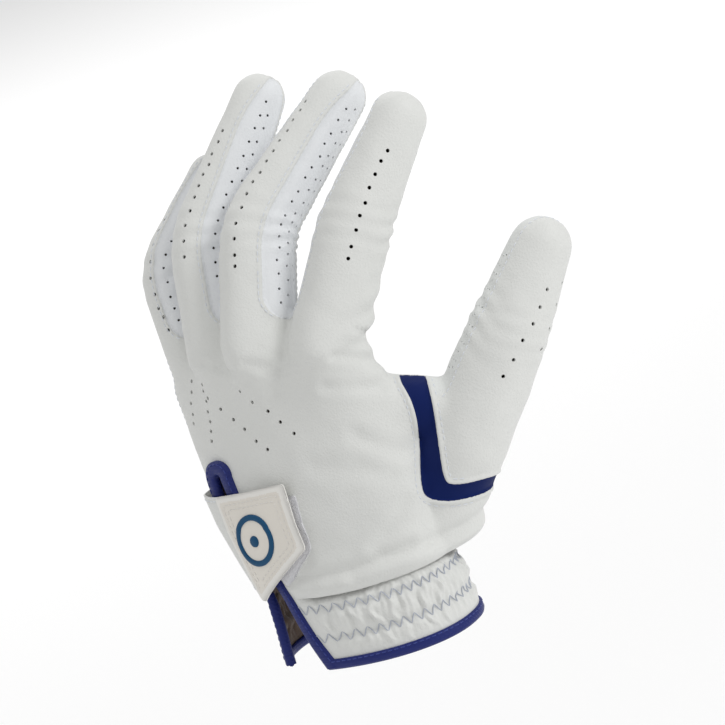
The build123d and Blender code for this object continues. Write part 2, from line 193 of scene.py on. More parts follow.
class Digit:
    """The line down the middle of a stall, with its sizes and its side and back directions."""

    def __init__(self, name):
        self.name = name
        self.knuckle = joint_point(f"{name}_knuckle")
        self.middle = joint_point(f"{name}_middle")
        self.tip = np.array(TIPS[name])
        side = np.array(JOINTS[f"{name}_middle"]["axis"])
        self.side = side if name != "thumb" else -side
        base = unit(self.middle - self.knuckle)
        if name == "thumb":
            root = np.array(THUMB_ROOT)
        else:
            root = self.knuckle - 36.0 * unit(0.6 * base + 0.8 * UP)
        bend = self.middle
        first, last = unit(self.knuckle - bend), unit(self.tip - bend)
        corner = []
        for step in np.linspace(0, 1, 9):
            a, b = bend + first * CORNER, bend + last * CORNER
            corner.append((1 - step) ** 2 * a + 2 * step * (1 - step) * bend + step ** 2 * b)
        points = [root, self.knuckle, *corner, self.tip]
        lengths = np.cumsum([0] + [np.linalg.norm(b - a) for a, b in zip(points, points[1:])])
        self.rise = lengths[-1]
        steps = np.linspace(0, self.rise, 160)
        line = np.stack([np.interp(steps, lengths, np.array(points)[:, k]) for k in range(3)], 1)
        for _ in range(6):
            line[1:-1] = (line[:-2] + 2 * line[1:-1] + line[2:]) / 4
        self.line = line
        self.tangent = np.gradient(line, axis=0)
        self.tangent /= np.linalg.norm(self.tangent, axis=1)[:, None]
        flat = self.side - self.tangent * (self.tangent @ self.side)[:, None]
        self.across = flat / np.linalg.norm(flat, axis=1)[:, None]
        self.back = np.cross(self.tangent, self.across)
        # distance along the line, 0 at the knuckle
        self.along = steps - lengths[1]
        self.reach = self.along[-1]
        self.bend_at = np.linalg.norm(self.middle - self.knuckle) * 0.985
        widths, depths = HALF_WIDTHS[name], HALF_DEPTHS[name]
        # the root tapers, so that it doesn't show through the back of the hand
        root_size = 0.3 if name != "thumb" else 1.0
        knots = (self.along[0], 0, self.bend_at, self.reach - depths[2])
        self.width = np.interp(self.along, knots, (widths[0] * root_size, *widths))
        self.depth = np.interp(self.along, knots, (depths[0] * root_size, *depths))
        self.tip_depth = depths[2]

    def at(self, along, values):
        if values.ndim == 1:
            return np.interp(along, self.along, values)
        return np.stack([np.interp(along, self.along, values[:, k]) for k in range(3)], -1)

    def locate(self, points):
        """For each point: distance along, across and to the back by the seams, and over the size."""
        nearest = np.empty(len(points), int)
        for start in range(0, len(points), 20000):
            part = points[start:start + 20000]
            gaps = ((part[:, None, :] - self.line[None, :, :]) ** 2).sum(2)
            nearest[start:start + 20000] = gaps.argmin(1)
        rel = points - self.line[nearest]
        forward = (rel * self.tangent[nearest]).sum(1)
        along = self.along[nearest] + forward
        across = (rel * self.across[nearest]).sum(1)
        back = (rel * self.back[nearest]).sum(1)
        size = (self.width[nearest] + self.depth[nearest]) / 2
        turn = math.radians(SEAM_TURN[self.name])
        seam_across = across * math.cos(turn) + back * math.sin(turn)
        seam_back = back * math.cos(turn) - across * math.sin(turn)
        return along, seam_across, seam_back, np.linalg.norm(rel, axis=1) / size


DIGIT = {name: Digit(name) for name in DIGITS}


def superoval(angle, power=SQUARE):
    """Points round a rounded-square section of half size one."""
    c, s = np.cos(angle), np.sin(angle)
    return np.sign(c) * np.abs(c) ** (2 / power), np.sign(s) * np.abs(s) ** (2 / power)


def hand_section(height):
    """Centre, half width, half depth and turn of the hand at a height."""
    return [np.interp(height, HAND_SECTIONS[:, 0], HAND_SECTIONS[:, k]) for k in range(1, 6)]


def hand_surface(angle, height, grow=0.0, power=2.15):
    """Points on the hand's own surface; angle 0 is the thumb edge and -90 degrees the back."""
    x, y, width, depth, turn = hand_section(height)
    turn = np.radians(turn)
    c, s = superoval(angle, power)
    u, v = (width + grow) * c, (depth + grow) * s
    return np.stack([x + u * np.cos(turn) - v * np.sin(turn),
                     y + u * np.sin(turn) + v * np.cos(turn), height + 0 * u], -1)


def hand_frame(angle, height):
    """Points on the hand's surface with the way that it faces at each."""
    points = hand_surface(angle, height)
    ahead = hand_surface(angle + 0.004, height) - points
    normal = np.cross(ahead, hand_surface(angle, height + 0.1) - points)
    return points, normal / np.linalg.norm(normal, axis=-1)[..., None]


# ---- mesh helpers ----------------------------------------------------------------------------------
def deselect():
    if bpy.context.object and bpy.context.object.mode != "OBJECT":
        bpy.ops.object.mode_set(mode="OBJECT")
    bpy.ops.object.select_all(action="DESELECT")


def ball_shaped(rings, segments, place):
    """A UV sphere primitive whose rings place(share, angle) carries to a stall or the hand."""
    deselect()
    bpy.ops.mesh.primitive_uv_sphere_add(segments=segments, ring_count=rings, radius=1)
    obj = bpy.context.object
    co = np.empty(len(obj.data.vertices) * 3, np.float64)
    obj.data.vertices.foreach_get("co", co)
    co = co.reshape(-1, 3)
    share = 1 - np.arccos(np.clip(co[:, 2], -1, 1)) / math.pi
    placed = place(share, np.arctan2(co[:, 1], co[:, 0])) * MM
    obj.data.vertices.foreach_set("co", placed.astype(np.float32).ravel())
    obj.data.update()
    return obj


def dome(share, start, end):
    """Size along a form that is round at both ends, 0 to 1, for a distance share from 0 to 1."""
    low = np.clip(share / start, 0, 1)
    high = np.clip((1 - share) / end, 0, 1)
    return np.sqrt(1 - (1 - low) ** 2) * np.sqrt(1 - (1 - high) ** 2)


def digit_form(digit):
    """The plain form of a stall along its middle line."""
    def place(share, angle):
        # the rings crowd into the dome so that the tip stays round
        start, end = digit.along[0], digit.reach
        run = end - start
        along = start + run * share
        cap = digit.tip_depth / run
        size = dome(share, 0.08, cap)
        c, s = superoval(angle)
        c, s = c * size, s * size
        width = digit.at(along, digit.width)
        depth = digit.at(along, digit.depth)
        return (digit.at(along, digit.line) + digit.at(along, digit.across) * (width * c)[:, None]
                + digit.at(along, digit.back) * (depth * s)[:, None])
    return ball_shaped(110, 48, place)


def hand_form():
    """The plain form of the hand, from the hem to past the knuckles."""
    low, high = HAND_SECTIONS[0, 0], HAND_SECTIONS[-1, 0]

    def place(share, angle):
        height = low + (high - low) * share
        size = dome(share, 0.03, 0.10)
        points = hand_surface(angle, height)
        x, y = hand_section(height)[:2]
        centre = np.stack([x, y, height], -1)
        return centre + (points - centre) * size[:, None]
    return ball_shaped(120, 128, place)


def bar_form(start, end, size_a, size_b):
    """A rounded bar from start to end, for the thumb's seat and the web beside it."""
    start, end = np.array(start), np.array(end)
    way = unit(end - start)
    side = unit(np.cross(way, [0.0, 1.0, 0.0]))
    other = np.cross(way, side)
    length = np.linalg.norm(end - start)

    def place(share, angle):
        run = length + size_a + size_b
        along = -size_a + run * share
        size = size_a + (size_b - size_a) * np.clip(along / length, 0, 1)
        past = np.maximum(-along, along - length)
        size = np.sqrt(np.maximum(size ** 2 - np.maximum(past, 0) ** 2, 0))
        return (start + way * along[:, None] + side * (size * np.cos(angle))[:, None]
                + other * (size * np.sin(angle))[:, None])
    return ball_shaped(48, 40, place)


def read_mesh(obj):
    mesh = obj.data
    mesh.calc_loop_triangles()
    co = np.empty(len(mesh.vertices) * 3)
    mesh.vertices.foreach_get("co", co)
    tri = np.empty(len(mesh.loop_triangles) * 3, int)
    mesh.loop_triangles.foreach_get("vertices", tri)
    return co.reshape(-1, 3) / MM, tri.reshape(-1, 3)


def vertex_normals(points, tris):
    a, b, c = points[tris[:, 0]], points[tris[:, 1]], points[tris[:, 2]]
    face = np.cross(b - a, c - a)
    out = np.zeros_like(points)
    for k in range(3):
        np.add.at(out, tris[:, k], face)
    length = np.linalg.norm(out, axis=1)
    return out / np.maximum(length, 1e-9)[:, None]


def refine(data, tris, chosen):
    """Halves each edge that chosen(midpoints) picks, and splits the triangles on it to match."""
    edges = np.sort(np.concatenate([tris[:, [0, 1]], tris[:, [1, 2]], tris[:, [2, 0]]]), axis=1)
    key = edges[:, 0].astype(np.int64) * len(data) + edges[:, 1]
    unique, where = np.unique(key, return_inverse=True)
    pairs = np.stack([unique // len(data), unique % len(data)], 1)
    middle = (data[pairs[:, 0]] + data[pairs[:, 1]]) / 2
    picked = chosen(middle)
    number = np.full(len(unique), -1)
    number[picked] = len(data) + np.arange(picked.sum())
    data = np.vstack([data, middle[picked]])
    cut = number[where].reshape(3, -1).T
    count = (cut >= 0).sum(1)
    out = [tris[count == 0]]
    a, b, c = tris.T
    ab, bc, ca = cut.T
    full = count == 3
    for corners in ((a, ab, ca), (ab, b, bc), (ca, bc, c), (ab, bc, ca)):
        out.append(np.stack([column[full] for column in corners], 1))
    for turn in range(3):
        p, q, r = np.roll(tris, -turn, 1).T
        pq, qr, rp = np.roll(cut, -turn, 1).T
        one = (count == 1) & (pq >= 0)
        for corners in ((p, pq, r), (pq, q, r)):
            out.append(np.stack([column[one] for column in corners], 1))
        two = (count == 2) & (rp < 0)
        for corners in ((pq, q, qr), (p, pq, qr), (p, qr, r)):
            out.append(np.stack([column[two] for column in corners], 1))
    return data, np.vstack(out)


def edges_of(tris):
    """Each edge once, as a pair of point numbers."""
    pairs = np.concatenate([tris[:, [0, 1]], tris[:, [1, 2]], tris[:, [2, 0]]])
    return np.unique(np.sort(pairs, axis=1), axis=0)


def cut_line(data, tris, field, near=None):
    """Splits the triangles that field's zero line crosses, so that no triangle straddles it."""
    field = field.copy()
    edges = edges_of(tris)
    if near is not None:
        touch = near[edges].all(1)
        edges = edges[touch]
    a, b = edges.T
    crossing = field[a] * field[b] < 0
    a, b = a[crossing], b[crossing]
    share = field[a] / (field[a] - field[b])
    field[a[share < 0.12]] = 0
    field[b[share > 0.88]] = 0
    crossing = field[a] * field[b] < 0
    a, b = a[crossing], b[crossing]
    share = (field[a] / (field[a] - field[b]))[:, None]
    number = {pair: len(data) + k for k, pair in enumerate(zip(a.tolist(), b.tolist()))}
    data = np.vstack([data, data[a] * (1 - share) + data[b] * share])
    if not number:
        return data, tris
    keys = np.array(sorted(p * len(data) + q for p, q in number), dtype=np.int64)
    hit = np.zeros(len(tris), bool)
    for k in range(3):
        pair = np.sort(tris[:, [k, (k + 1) % 3]], axis=1)
        hit |= np.isin(pair[:, 0].astype(np.int64) * len(data) + pair[:, 1], keys)
    fresh = []
    for tri in tris[hit].tolist():
        ring = []
        for k in range(3):
            p, q = tri[k], tri[(k + 1) % 3]
            ring.append(p)
            new = number.get((p, q) if p < q else (q, p))
            if new is not None:
                ring.append(new)
        if len(ring) == 4:
            at = next(k for k, v in enumerate(ring) if v >= len(field))
            ring = ring[at:] + ring[:at]
            fresh += [(ring[0], ring[1], ring[2]), (ring[0], ring[2], ring[3])]
        elif len(ring) == 5:
            at = next(k for k in range(5) if ring[k] >= len(field) and ring[(k + 2) % 5] >= len(field))
            ring = ring[at:] + ring[:at]
            fresh += [(ring[0], ring[1], ring[2]), (ring[0], ring[2], ring[3]),
                      (ring[0], ring[3], ring[4])]
        else:
            fresh.append(tuple(ring[:3]))
    return data, np.vstack([tris[~hit], np.array(fresh, int)])


def contour(points, tris, field):
    """Chains of points along field's zero line."""
    field = np.where(np.abs(field) < 1e-6, 1e-6, field)
    inside = field[tris] > 0
    mixed = (inside.sum(1) > 0) & (inside.sum(1) < 3)
    links = {}
    for tri in tris[mixed].tolist():
        ends = []
        for k in range(3):
            p, q = sorted((tri[k], tri[(k + 1) % 3]))
            if field[p] * field[q] < 0:
                ends.append((p, q))
        if len(ends) == 2:
            links.setdefault(ends[0], []).append(ends[1])
            links.setdefault(ends[1], []).append(ends[0])
    chains, seen = [], set()
    starts = [k for k, v in links.items() if len(v) == 1] + list(links)
    for start in starts:
        if start in seen:
            continue
        chain, here = [start], start
        seen.add(start)
        while True:
            ahead = [k for k in links[here] if k not in seen]
            if not ahead:
                break
            here = ahead[0]
            seen.add(here)
            chain.append(here)
        if len(chain) > 3:
            pairs = np.array(chain)
            share = (field[pairs[:, 0]] / (field[pairs[:, 0]] - field[pairs[:, 1]]))[:, None]
            chains.append(points[pairs[:, 0]] * (1 - share) + points[pairs[:, 1]] * share)
    return chains


def net(shape):
    """Triangles over rows and columns of points."""
    number = np.arange(shape[0] * shape[1]).reshape(shape)
    a, b, c, d = number[:-1, :-1], number[:-1, 1:], number[1:, 1:], number[1:, :-1]
    return np.vstack([np.stack([a, b, c], -1).reshape(-1, 3), np.stack([a, c, d], -1).reshape(-1, 3)])


def pull_in(tris):
    used, local = np.unique(tris, return_inverse=True)
    return used, local.reshape(-1, 3)


class Pile:
    """Collects the faces of one object: points in millimetres, the material and the shading."""

    def __init__(self):
        self.points, self.faces, self.kinds, self.normals, self.count = [], [], [], [], 0

    def add(self, points, faces, kind=0, normals=None):
        points, faces = np.asarray(points, float), np.asarray(faces, int)
        if len(faces) == 0:
            return
        corners = points[faces]
        if normals is None:
            flat = np.cross(corners[:, 1] - corners[:, 0], corners[:, 2] - corners[:, 0])
            size = np.linalg.norm(flat, axis=1)
            flat /= np.maximum(size, 1e-12)[:, None]
            loops = np.repeat(flat, faces.shape[1], axis=0)
        elif len(normals) == 0:
            loops = np.zeros((faces.size, 3))
        else:
            loops = np.asarray(normals)[faces.ravel()]
        self.points.append(points)
        self.faces += (faces + self.count).tolist()
        self.kinds += [kind] * len(faces)
        self.normals.append(loops)
        self.count += len(points)

    def shell(self, data, tris, normals, low, high, kinds=(0, 1)):
        """The skin's triangles as a closed wall between the offsets low and high."""
        used, local = pull_in(tris)
        base, normal = data[used, :3], normals[used]
        low = low[used][:, None] if np.ndim(low) else low
        high = high[used][:, None] if np.ndim(high) else high
        outer, inner = base + normal * high, base + normal * low
        total = len(used)
        self.add(outer, local, kinds[0], normal)
        self.add(inner, local[:, ::-1], kinds[1], -normal)
        pairs = np.concatenate([local[:, [0, 1]], local[:, [1, 2]], local[:, [2, 0]]])
        forward = pairs[:, 0].astype(np.int64) * total + pairs[:, 1]
        backward = pairs[:, 1].astype(np.int64) * total + pairs[:, 0]
        a, b = pairs[~np.isin(forward, backward)].T
        rim = np.stack([b, a, a + total, b + total], 1)
        self.add(np.vstack([outer, inner]), rim, kinds[0])

    def grid(self, points, normals=(), kind=0, closed=False):
        """Rows and columns of points as faces; closed joins the last column to the first."""
        rows, columns = points.shape[:2]
        number = np.arange(rows * columns).reshape(rows, columns)
        if closed:
            number = np.hstack([number, number[:, :1]])
        a, b = number[:-1, :-1], number[:-1, 1:]
        c, d = number[1:, 1:], number[1:, :-1]
        self.add(points.reshape(-1, 3), np.stack([a, b, c, d], -1).reshape(-1, 4), kind, normals)

    def thread(self, path, normal, radius, kind=2, sides=6):
        """A round thread along a path, thin at both ends."""
        path = np.asarray(path, float)
        way = np.gradient(path, axis=0)
        way /= np.maximum(np.linalg.norm(way, axis=1), 1e-9)[:, None]
        normal = np.broadcast_to(normal, path.shape)
        side = np.cross(way, normal)
        side /= np.maximum(np.linalg.norm(side, axis=1), 1e-9)[:, None]
        up = np.cross(side, way)
        size = np.full(len(path), radius)
        size[[0, -1]] *= 0.35
        turn = np.linspace(2 * math.pi, 0, sides, endpoint=False)
        round_way = (side[:, None, :] * np.cos(turn)[None, :, None]
                     + up[:, None, :] * np.sin(turn)[None, :, None])
        points = path[:, None, :] + round_way * size[:, None, None]
        self.grid(points, round_way.reshape(-1, 3), kind, closed=True)
        cap = np.arange(sides)[None, :]
        self.add(points[0], cap[:, ::-1], kind)
        self.add(points[-1], cap, kind)

    def stitches(self, chain, normals, radius, length, pitch, kind=2, lift=0.02):
        """Short threads along a chain of points."""
        if len(chain) < 2:
            return
        gaps = np.linalg.norm(np.diff(chain, axis=0), axis=1)
        run = np.concatenate([[0], np.cumsum(gaps)])
        for start in np.arange(pitch * 0.3, run[-1] - length, pitch):
            stops = start + length * np.array([0.0, 0.12, 0.5, 0.88, 1.0])
            path = np.stack([np.interp(stops, run, chain[:, k]) for k in range(3)], 1)
            normal = np.stack([np.interp(stops, run, normals[:, k]) for k in range(3)], 1)
            path += normal * (np.array([-0.12, 0.02, 0.08, 0.02, -0.12]) + lift)[:, None]
            self.thread(path, normal, radius, kind)

    def make(self, name, materials):
        points = np.vstack(self.points) * MM
        mesh = bpy.data.meshes.new(name)
        mesh.from_pydata(points.tolist(), [], self.faces)
        mesh.polygons.foreach_set("use_smooth", [True] * len(mesh.polygons))
        mesh.polygons.foreach_set("material_index", self.kinds)
        mesh.update()
        mesh.normals_split_custom_set(np.vstack(self.normals).tolist())
        for material in materials:
            mesh.materials.append(material)
        obj = bpy.data.objects.new(name, mesh)
        bpy.context.scene.collection.objects.link(obj)
        return obj


# ---- places on the hand's own surface --------------------------------------------------------------
FACE_ACROSS = np.array([0.650, -0.760, 0.0])
SLIT_LENGTH, SLIT_MOUTH, SLIT_END = 66.0, 20.0, 4.0
SLIT_FOOT, SLIT_HEAD = -6.0, 16.0


def solve_angle(low, high, height, measure, target):
    """The angle at which the hand's surface reaches target; measure must grow with the angle."""
    low, high = np.broadcast_to(float(low), height.shape), np.broadcast_to(float(high), height.shape)
    for _ in range(30):
        middle = (low + high) / 2
        below = measure(hand_surface(middle, height)) < target
        low, high = np.where(below, middle, low), np.where(below, high, middle)
    return (low + high) / 2


def side_angle(y, height):
    """Angle on the little finger's side of the hand at a given y."""
    return solve_angle(np.radians(120), np.radians(300), height, lambda p: -p[..., 1], -y)


def face_angle(t, height):
    """Angle on the back of the hand at a distance t along the closure tab."""
    return solve_angle(np.radians(-185), np.radians(-20), height, lambda p: p @ FACE_ACROSS, t)


def slit_at(height):
    """Middle and half width of the slit at a height, along y."""
    share = np.clip(height / SLIT_LENGTH, 0, 1)
    return SLIT_FOOT + (SLIT_HEAD - SLIT_FOOT) * share, (SLIT_MOUTH + (SLIT_END - SLIT_MOUTH) * share) / 2


def slit_field(points):
    """Positive inside the slit."""
    middle, half = slit_at(points[:, 2])
    over = np.maximum(points[:, 2] - SLIT_LENGTH, 0)
    field = half - np.hypot(points[:, 1] - middle, over)
    return np.where(points[:, 0] < -8, field, -50.0)


def rounded(distances, radius):
    """Distance inside a convex outline from the distances to its sides, with round corners."""
    lowest = distances.min(0)
    return lowest - radius * np.log(np.exp(-(distances - lowest) / radius).sum(0))


def outline_field(outline, across, height, radius=0.8):
    """Distance inside a convex outline, positive inside."""
    outline = np.array(outline, float)
    after = np.roll(outline, -1, 0)
    turn = np.sign(((after[:, 0] - outline[:, 0]) * (after[:, 1] + outline[:, 1])).sum())
    rows = []
    for (ax, az), (bx, bz) in zip(outline, after):
        length = math.hypot(bx - ax, bz - az)
        rows.append(turn * ((across - ax) * (bz - az) - (height - az) * (bx - ax)) / length)
    return rounded(np.array(rows), radius)


def polygon_distance(outline, x, z):
    """Signed distance to any outline, positive inside."""
    outline = np.array(outline, float)
    best, inside = np.full(len(x), 1e9), np.zeros(len(x), bool)
    for (ax, az), (bx, bz) in zip(outline, np.roll(outline, -1, 0)):
        dx, dz = bx - ax, bz - az
        share = np.clip(((x - ax) * dx + (z - az) * dz) / (dx * dx + dz * dz), 0, 1)
        best = np.minimum(best, np.hypot(x - ax - share * dx, z - az - share * dz))
        crosses = (az > z) != (bz > z)
        if abs(dz) > 1e-9:
            inside ^= crosses & (x < ax + (z - az) * dx / dz)
    return np.where(inside, best, -best)


def ripples(points, size, seed):
    """Smooth uneven hills between -1 and 1, about size millimetres apart."""
    rng = np.random.default_rng(seed)
    total = np.zeros(len(points))
    for _ in range(7):
        way = unit(rng.normal(size=3)) * 2 * math.pi / (size * rng.uniform(0.8, 1.6))
        total += np.sin(points @ way + rng.uniform(0, 2 * math.pi))
    return total / 3.2


# ---- the seams and holes ---------------------------------------------------------------------------
FORK_SIDES = {"index": (1,), "middle": (1, -1), "ring": (1, -1), "little": (-1,), "thumb": ()}
FORK_HALF = 6.6
KNUCKLE_CUT = 8.0       # past a knuckle, where the hand's leather ends and the stall's begins
THUMB_CUT = 43.0        # x at which the thumb's stall begins
GUSSET_CORNERS = [(33, 86), (35.2, 76), (33.6, 65), (28.4, 50.5), (28.2, 45), (35.4, 41.2),
          (54, 37.8), (56, 43.0), (37.2, 46.5), (36.2, 50), (37.5, 57), (39.7, 67), (41.5, 77), (42.5, 86)]
WRIST_FOLD = 24.5
ZIGZAG_ROWS = (10.5, 20.5)      # heights of the two rows of thread over the elastic
CUFF_RADIUS = 31.0              # turns an angle round the cuff into millimetres


def cut_corners(outline, times=3):
    """The outline with each corner cut at its quarters, again and again, until it is round."""
    outline = np.array(outline, float)
    for _ in range(times):
        after = np.roll(outline, -1, 0)
        outline = np.stack([0.75 * outline + 0.25 * after, 0.25 * outline + 0.75 * after], 1)
        outline = outline.reshape(-1, 2)
    return outline


GUSSET = cut_corners(GUSSET_CORNERS)


def columns(data):
    """Nearest digit's number and the place along, across and to the back of its line."""
    rho = data[:, 6:23:4]
    label = rho.argmin(1)
    rows = np.arange(len(data))
    return label, data[rows, 3 + 4 * label], data[rows, 4 + 4 * label], data[rows, 5 + 4 * label]


def annotate(points):
    """Adds to each point its place by the line of every digit."""
    parts = [points]
    for name in DIGITS:
        along, across, back, rho = DIGIT[name].locate(points)
        parts.append(np.stack([along, across, back, rho], 1))
    return np.hstack(parts)


def per_label(values, label):
    return np.array([values[name] for name in DIGITS])[label]


REACH = {name: digit.reach for name, digit in DIGIT.items()}
BEND_AT = {name: digit.bend_at for name, digit in DIGIT.items()}
# where each stall is cut in two, past its knuckle
MIDDLE_CUT = {name: min(0.64 * DIGIT[name].bend_at, DIGIT[name].bend_at - 12.0) for name in FINGERS}
MIDDLE_CUT["thumb"] = 29.0


def own_field(data):
    """Positive on a stall's own pieces, negative on the hand's."""
    label, along, _, _ = columns(data)
    return np.where(label == 4, data[:, 0] - THUMB_CUT, along - KNUCKLE_CUT)


def half_field(data):
    """Positive on the upper half of a stall, past its middle joint."""
    label, along, _, _ = columns(data)
    return along - per_label(MIDDLE_CUT, label)


def fork_half(label, along, across):
    """Half width of the side strip on this side of a stall, and whether there is one."""
    reach = per_label(REACH, label)
    # a side strip is pointed at the fingertip and round at the crotch
    taper = np.clip((reach - 1.5 - along) / 24.0, 0, 1) * np.clip((along - 8.5) / 8.0, 0, 1)
    wide = FORK_HALF * np.sqrt(taper * (2 - taper))
    ulnar = per_label({name: 1 in FORK_SIDES[name] for name in DIGITS}, label)
    radial = per_label({name: -1 in FORK_SIDES[name] for name in DIGITS}, label)
    forked = np.where(across > 0, ulnar, radial)
    return np.where(forked, wide, 0.0), forked


def back_field(data):
    """Positive past the seam on the back of a stall."""
    label, along, across, back = columns(data)
    return back - fork_half(label, along, across)[0]


def palm_field(data):
    """Positive past the seam on the palm side of a stall."""
    label, along, across, back = columns(data)
    return -back - fork_half(label, along, across)[0]


def side_field(points):
    """Positive on the back of the hand, negative on the palm."""
    x, y = hand_section(points[:, 2])[:2]
    centre = np.stack([x, y, points[:, 2]], 1)
    return (points - centre) @ BACK_NORMAL + 1.0


# rows of punched holes: on the back of the hand from and to (x, z), on a stall from and to
# (distance past the knuckle, degrees round it), each with the number of holes
HAND_HOLES = [
    ((-33.1, 99.0), (-36.9, 84.0), 5),
    ((-27.0, 98.5), (-32.4, 78.5), 7),
    ((-27.2, 93.0), (-15.1, 73.6), 6),
    ((-15.0, 94.4), (-4.8, 78.0), 5),
]
STALL_HOLES = [
    ("index", (31, 158), (68, 158), 9, "big"),
    ("middle", (26, 134), (84, 118), 15, "big"),
    ("middle", (14, 210), (88, 204), 17, "small"),
    ("middle", (17, 228), (90, 224), 17, "small"),
    ("middle", (22, 244), (82, 238), 14, "small"),
    ("middle", (16, 40), (80, 40), 14, "small"),
    ("ring", (34, 134), (76, 130), 11, "big"),
    ("ring", (16, 190), (90, 196), 16, "small"),
    ("ring", (18, 210), (86, 214), 15, "small"),
    ("ring", (16, 24), (84, 24), 15, "small"),
    ("little", (14, 126), (48, 112), 9, "big"),
    ("little", (16, 152), (54, 152), 10, "small"),
    ("little", (18, 172), (54, 172), 9, "small"),
    ("index", (14, 50), (72, 55), 14, "small"),
    ("thumb", (27, 53), (57, 76), 6, "big"),
    ("thumb", (38, 106), (60, 118), 4, "big"),
]
# fine holes inside the thumb: from, to and number, along the stall and round it
THUMB_ROWS = (22, 62, 14)
THUMB_COLUMNS = (-66, -24, 6)


def stall_point(data, label, name, along, angle):
    """Index of the skin's vertex nearest to a place on a stall."""
    digit = DIGIT[name]
    number = DIGITS.index(name)
    own = np.flatnonzero((label == number) & (np.abs(data[:, 3 + 4 * number] - along) < 4))
    turn = math.radians(angle)
    middle = digit.at(np.array([along]), digit.line)[0]
    across, back = (digit.at(np.array([along]), getattr(digit, k))[0] for k in ("across", "back"))
    size = (digit.at(along, digit.width) + digit.at(along, digit.depth)) / 2
    goal = middle + size * (math.cos(turn) * across + math.sin(turn) * back)
    return own[((data[own, :3] - goal) ** 2).sum(1).argmin()]


def punched_holes(data):
    """Centres and radii of the ventilation holes."""
    leather = settings("leather")
    sizes = {"big": mm(leather.hole_radius), "small": mm(leather.small_hole_radius)}
    label = columns(data)[0]
    centres, radii = [], []
    for name, start, end, count, size in STALL_HOLES:
        for share in np.linspace(0, 1, count):
            along = start[0] + (end[0] - start[0]) * share
            angle = start[1] + (end[1] - start[1]) * share
            centres.append(data[stall_point(data, label, name, along, angle), :3])
            radii.append(sizes[size])
    for (ax, az), (bx, bz), count in HAND_HOLES:
        share = np.linspace(0, 1, count)
        x, height = ax + (bx - ax) * share, az + (bz - az) * share
        angle = solve_angle(np.radians(-215), np.radians(-60), height, lambda p: p[..., 0], x)
        for place in hand_surface(angle, height):
            centres.append(data[((data[:, :3] - place) ** 2).sum(1).argmin(), :3])
        radii += [sizes["big"]] * count
    return np.array(centres), np.array(radii)


def fine_holes(data):
    """Centres and radii of the fine holes over the palm side of the thumb's stall."""
    label = columns(data)[0]
    low, high, count = THUMB_ROWS
    first, last, across = THUMB_COLUMNS
    centres = []
    for row, along in enumerate(np.linspace(low, high, count)):
        for k in range(across):
            angle = first + (last - first) * (k + (row % 2) / 2) / (across - 0.5)
            centres.append(data[stall_point(data, label, "thumb", along, angle), :3])
    return np.array(centres), np.full(len(centres), 0.26)


def in_hole(points, holes):
    """How far each point lies inside the nearest hole's edge; negative outside."""
    best = np.full(len(points), -20.0)
    for centre, radius in zip(*holes):
        near = np.abs(points - centre).max(1) < 6
        best[near] = np.maximum(best[near], radius - np.linalg.norm(points[near] - centre, axis=1))
    return best


def bump(distance, width):
    return np.exp(-(distance / width) ** 2)


# folds in the leather: ends as (x, z) on the back of the hand, half width, depth
HAND_FOLDS = [
    ((16, 99), (30, 92), 1.6, -0.7), ((10, 90), (27, 84), 1.8, -0.5), ((26, 104), (38, 96), 1.5, -0.6),
    ((-2, 29), (18, 34), 2.0, -0.6), ((8, 36), (22, 47), 2.2, -0.5), ((-2, 66), (20, 58), 3.0, -0.45),
    ((-12, 104), (-2, 98), 1.6, -0.5), ((-26, 106), (-18, 101), 1.4, -0.5), ((14, 72), (26, 62), 2.4, -0.5),
]


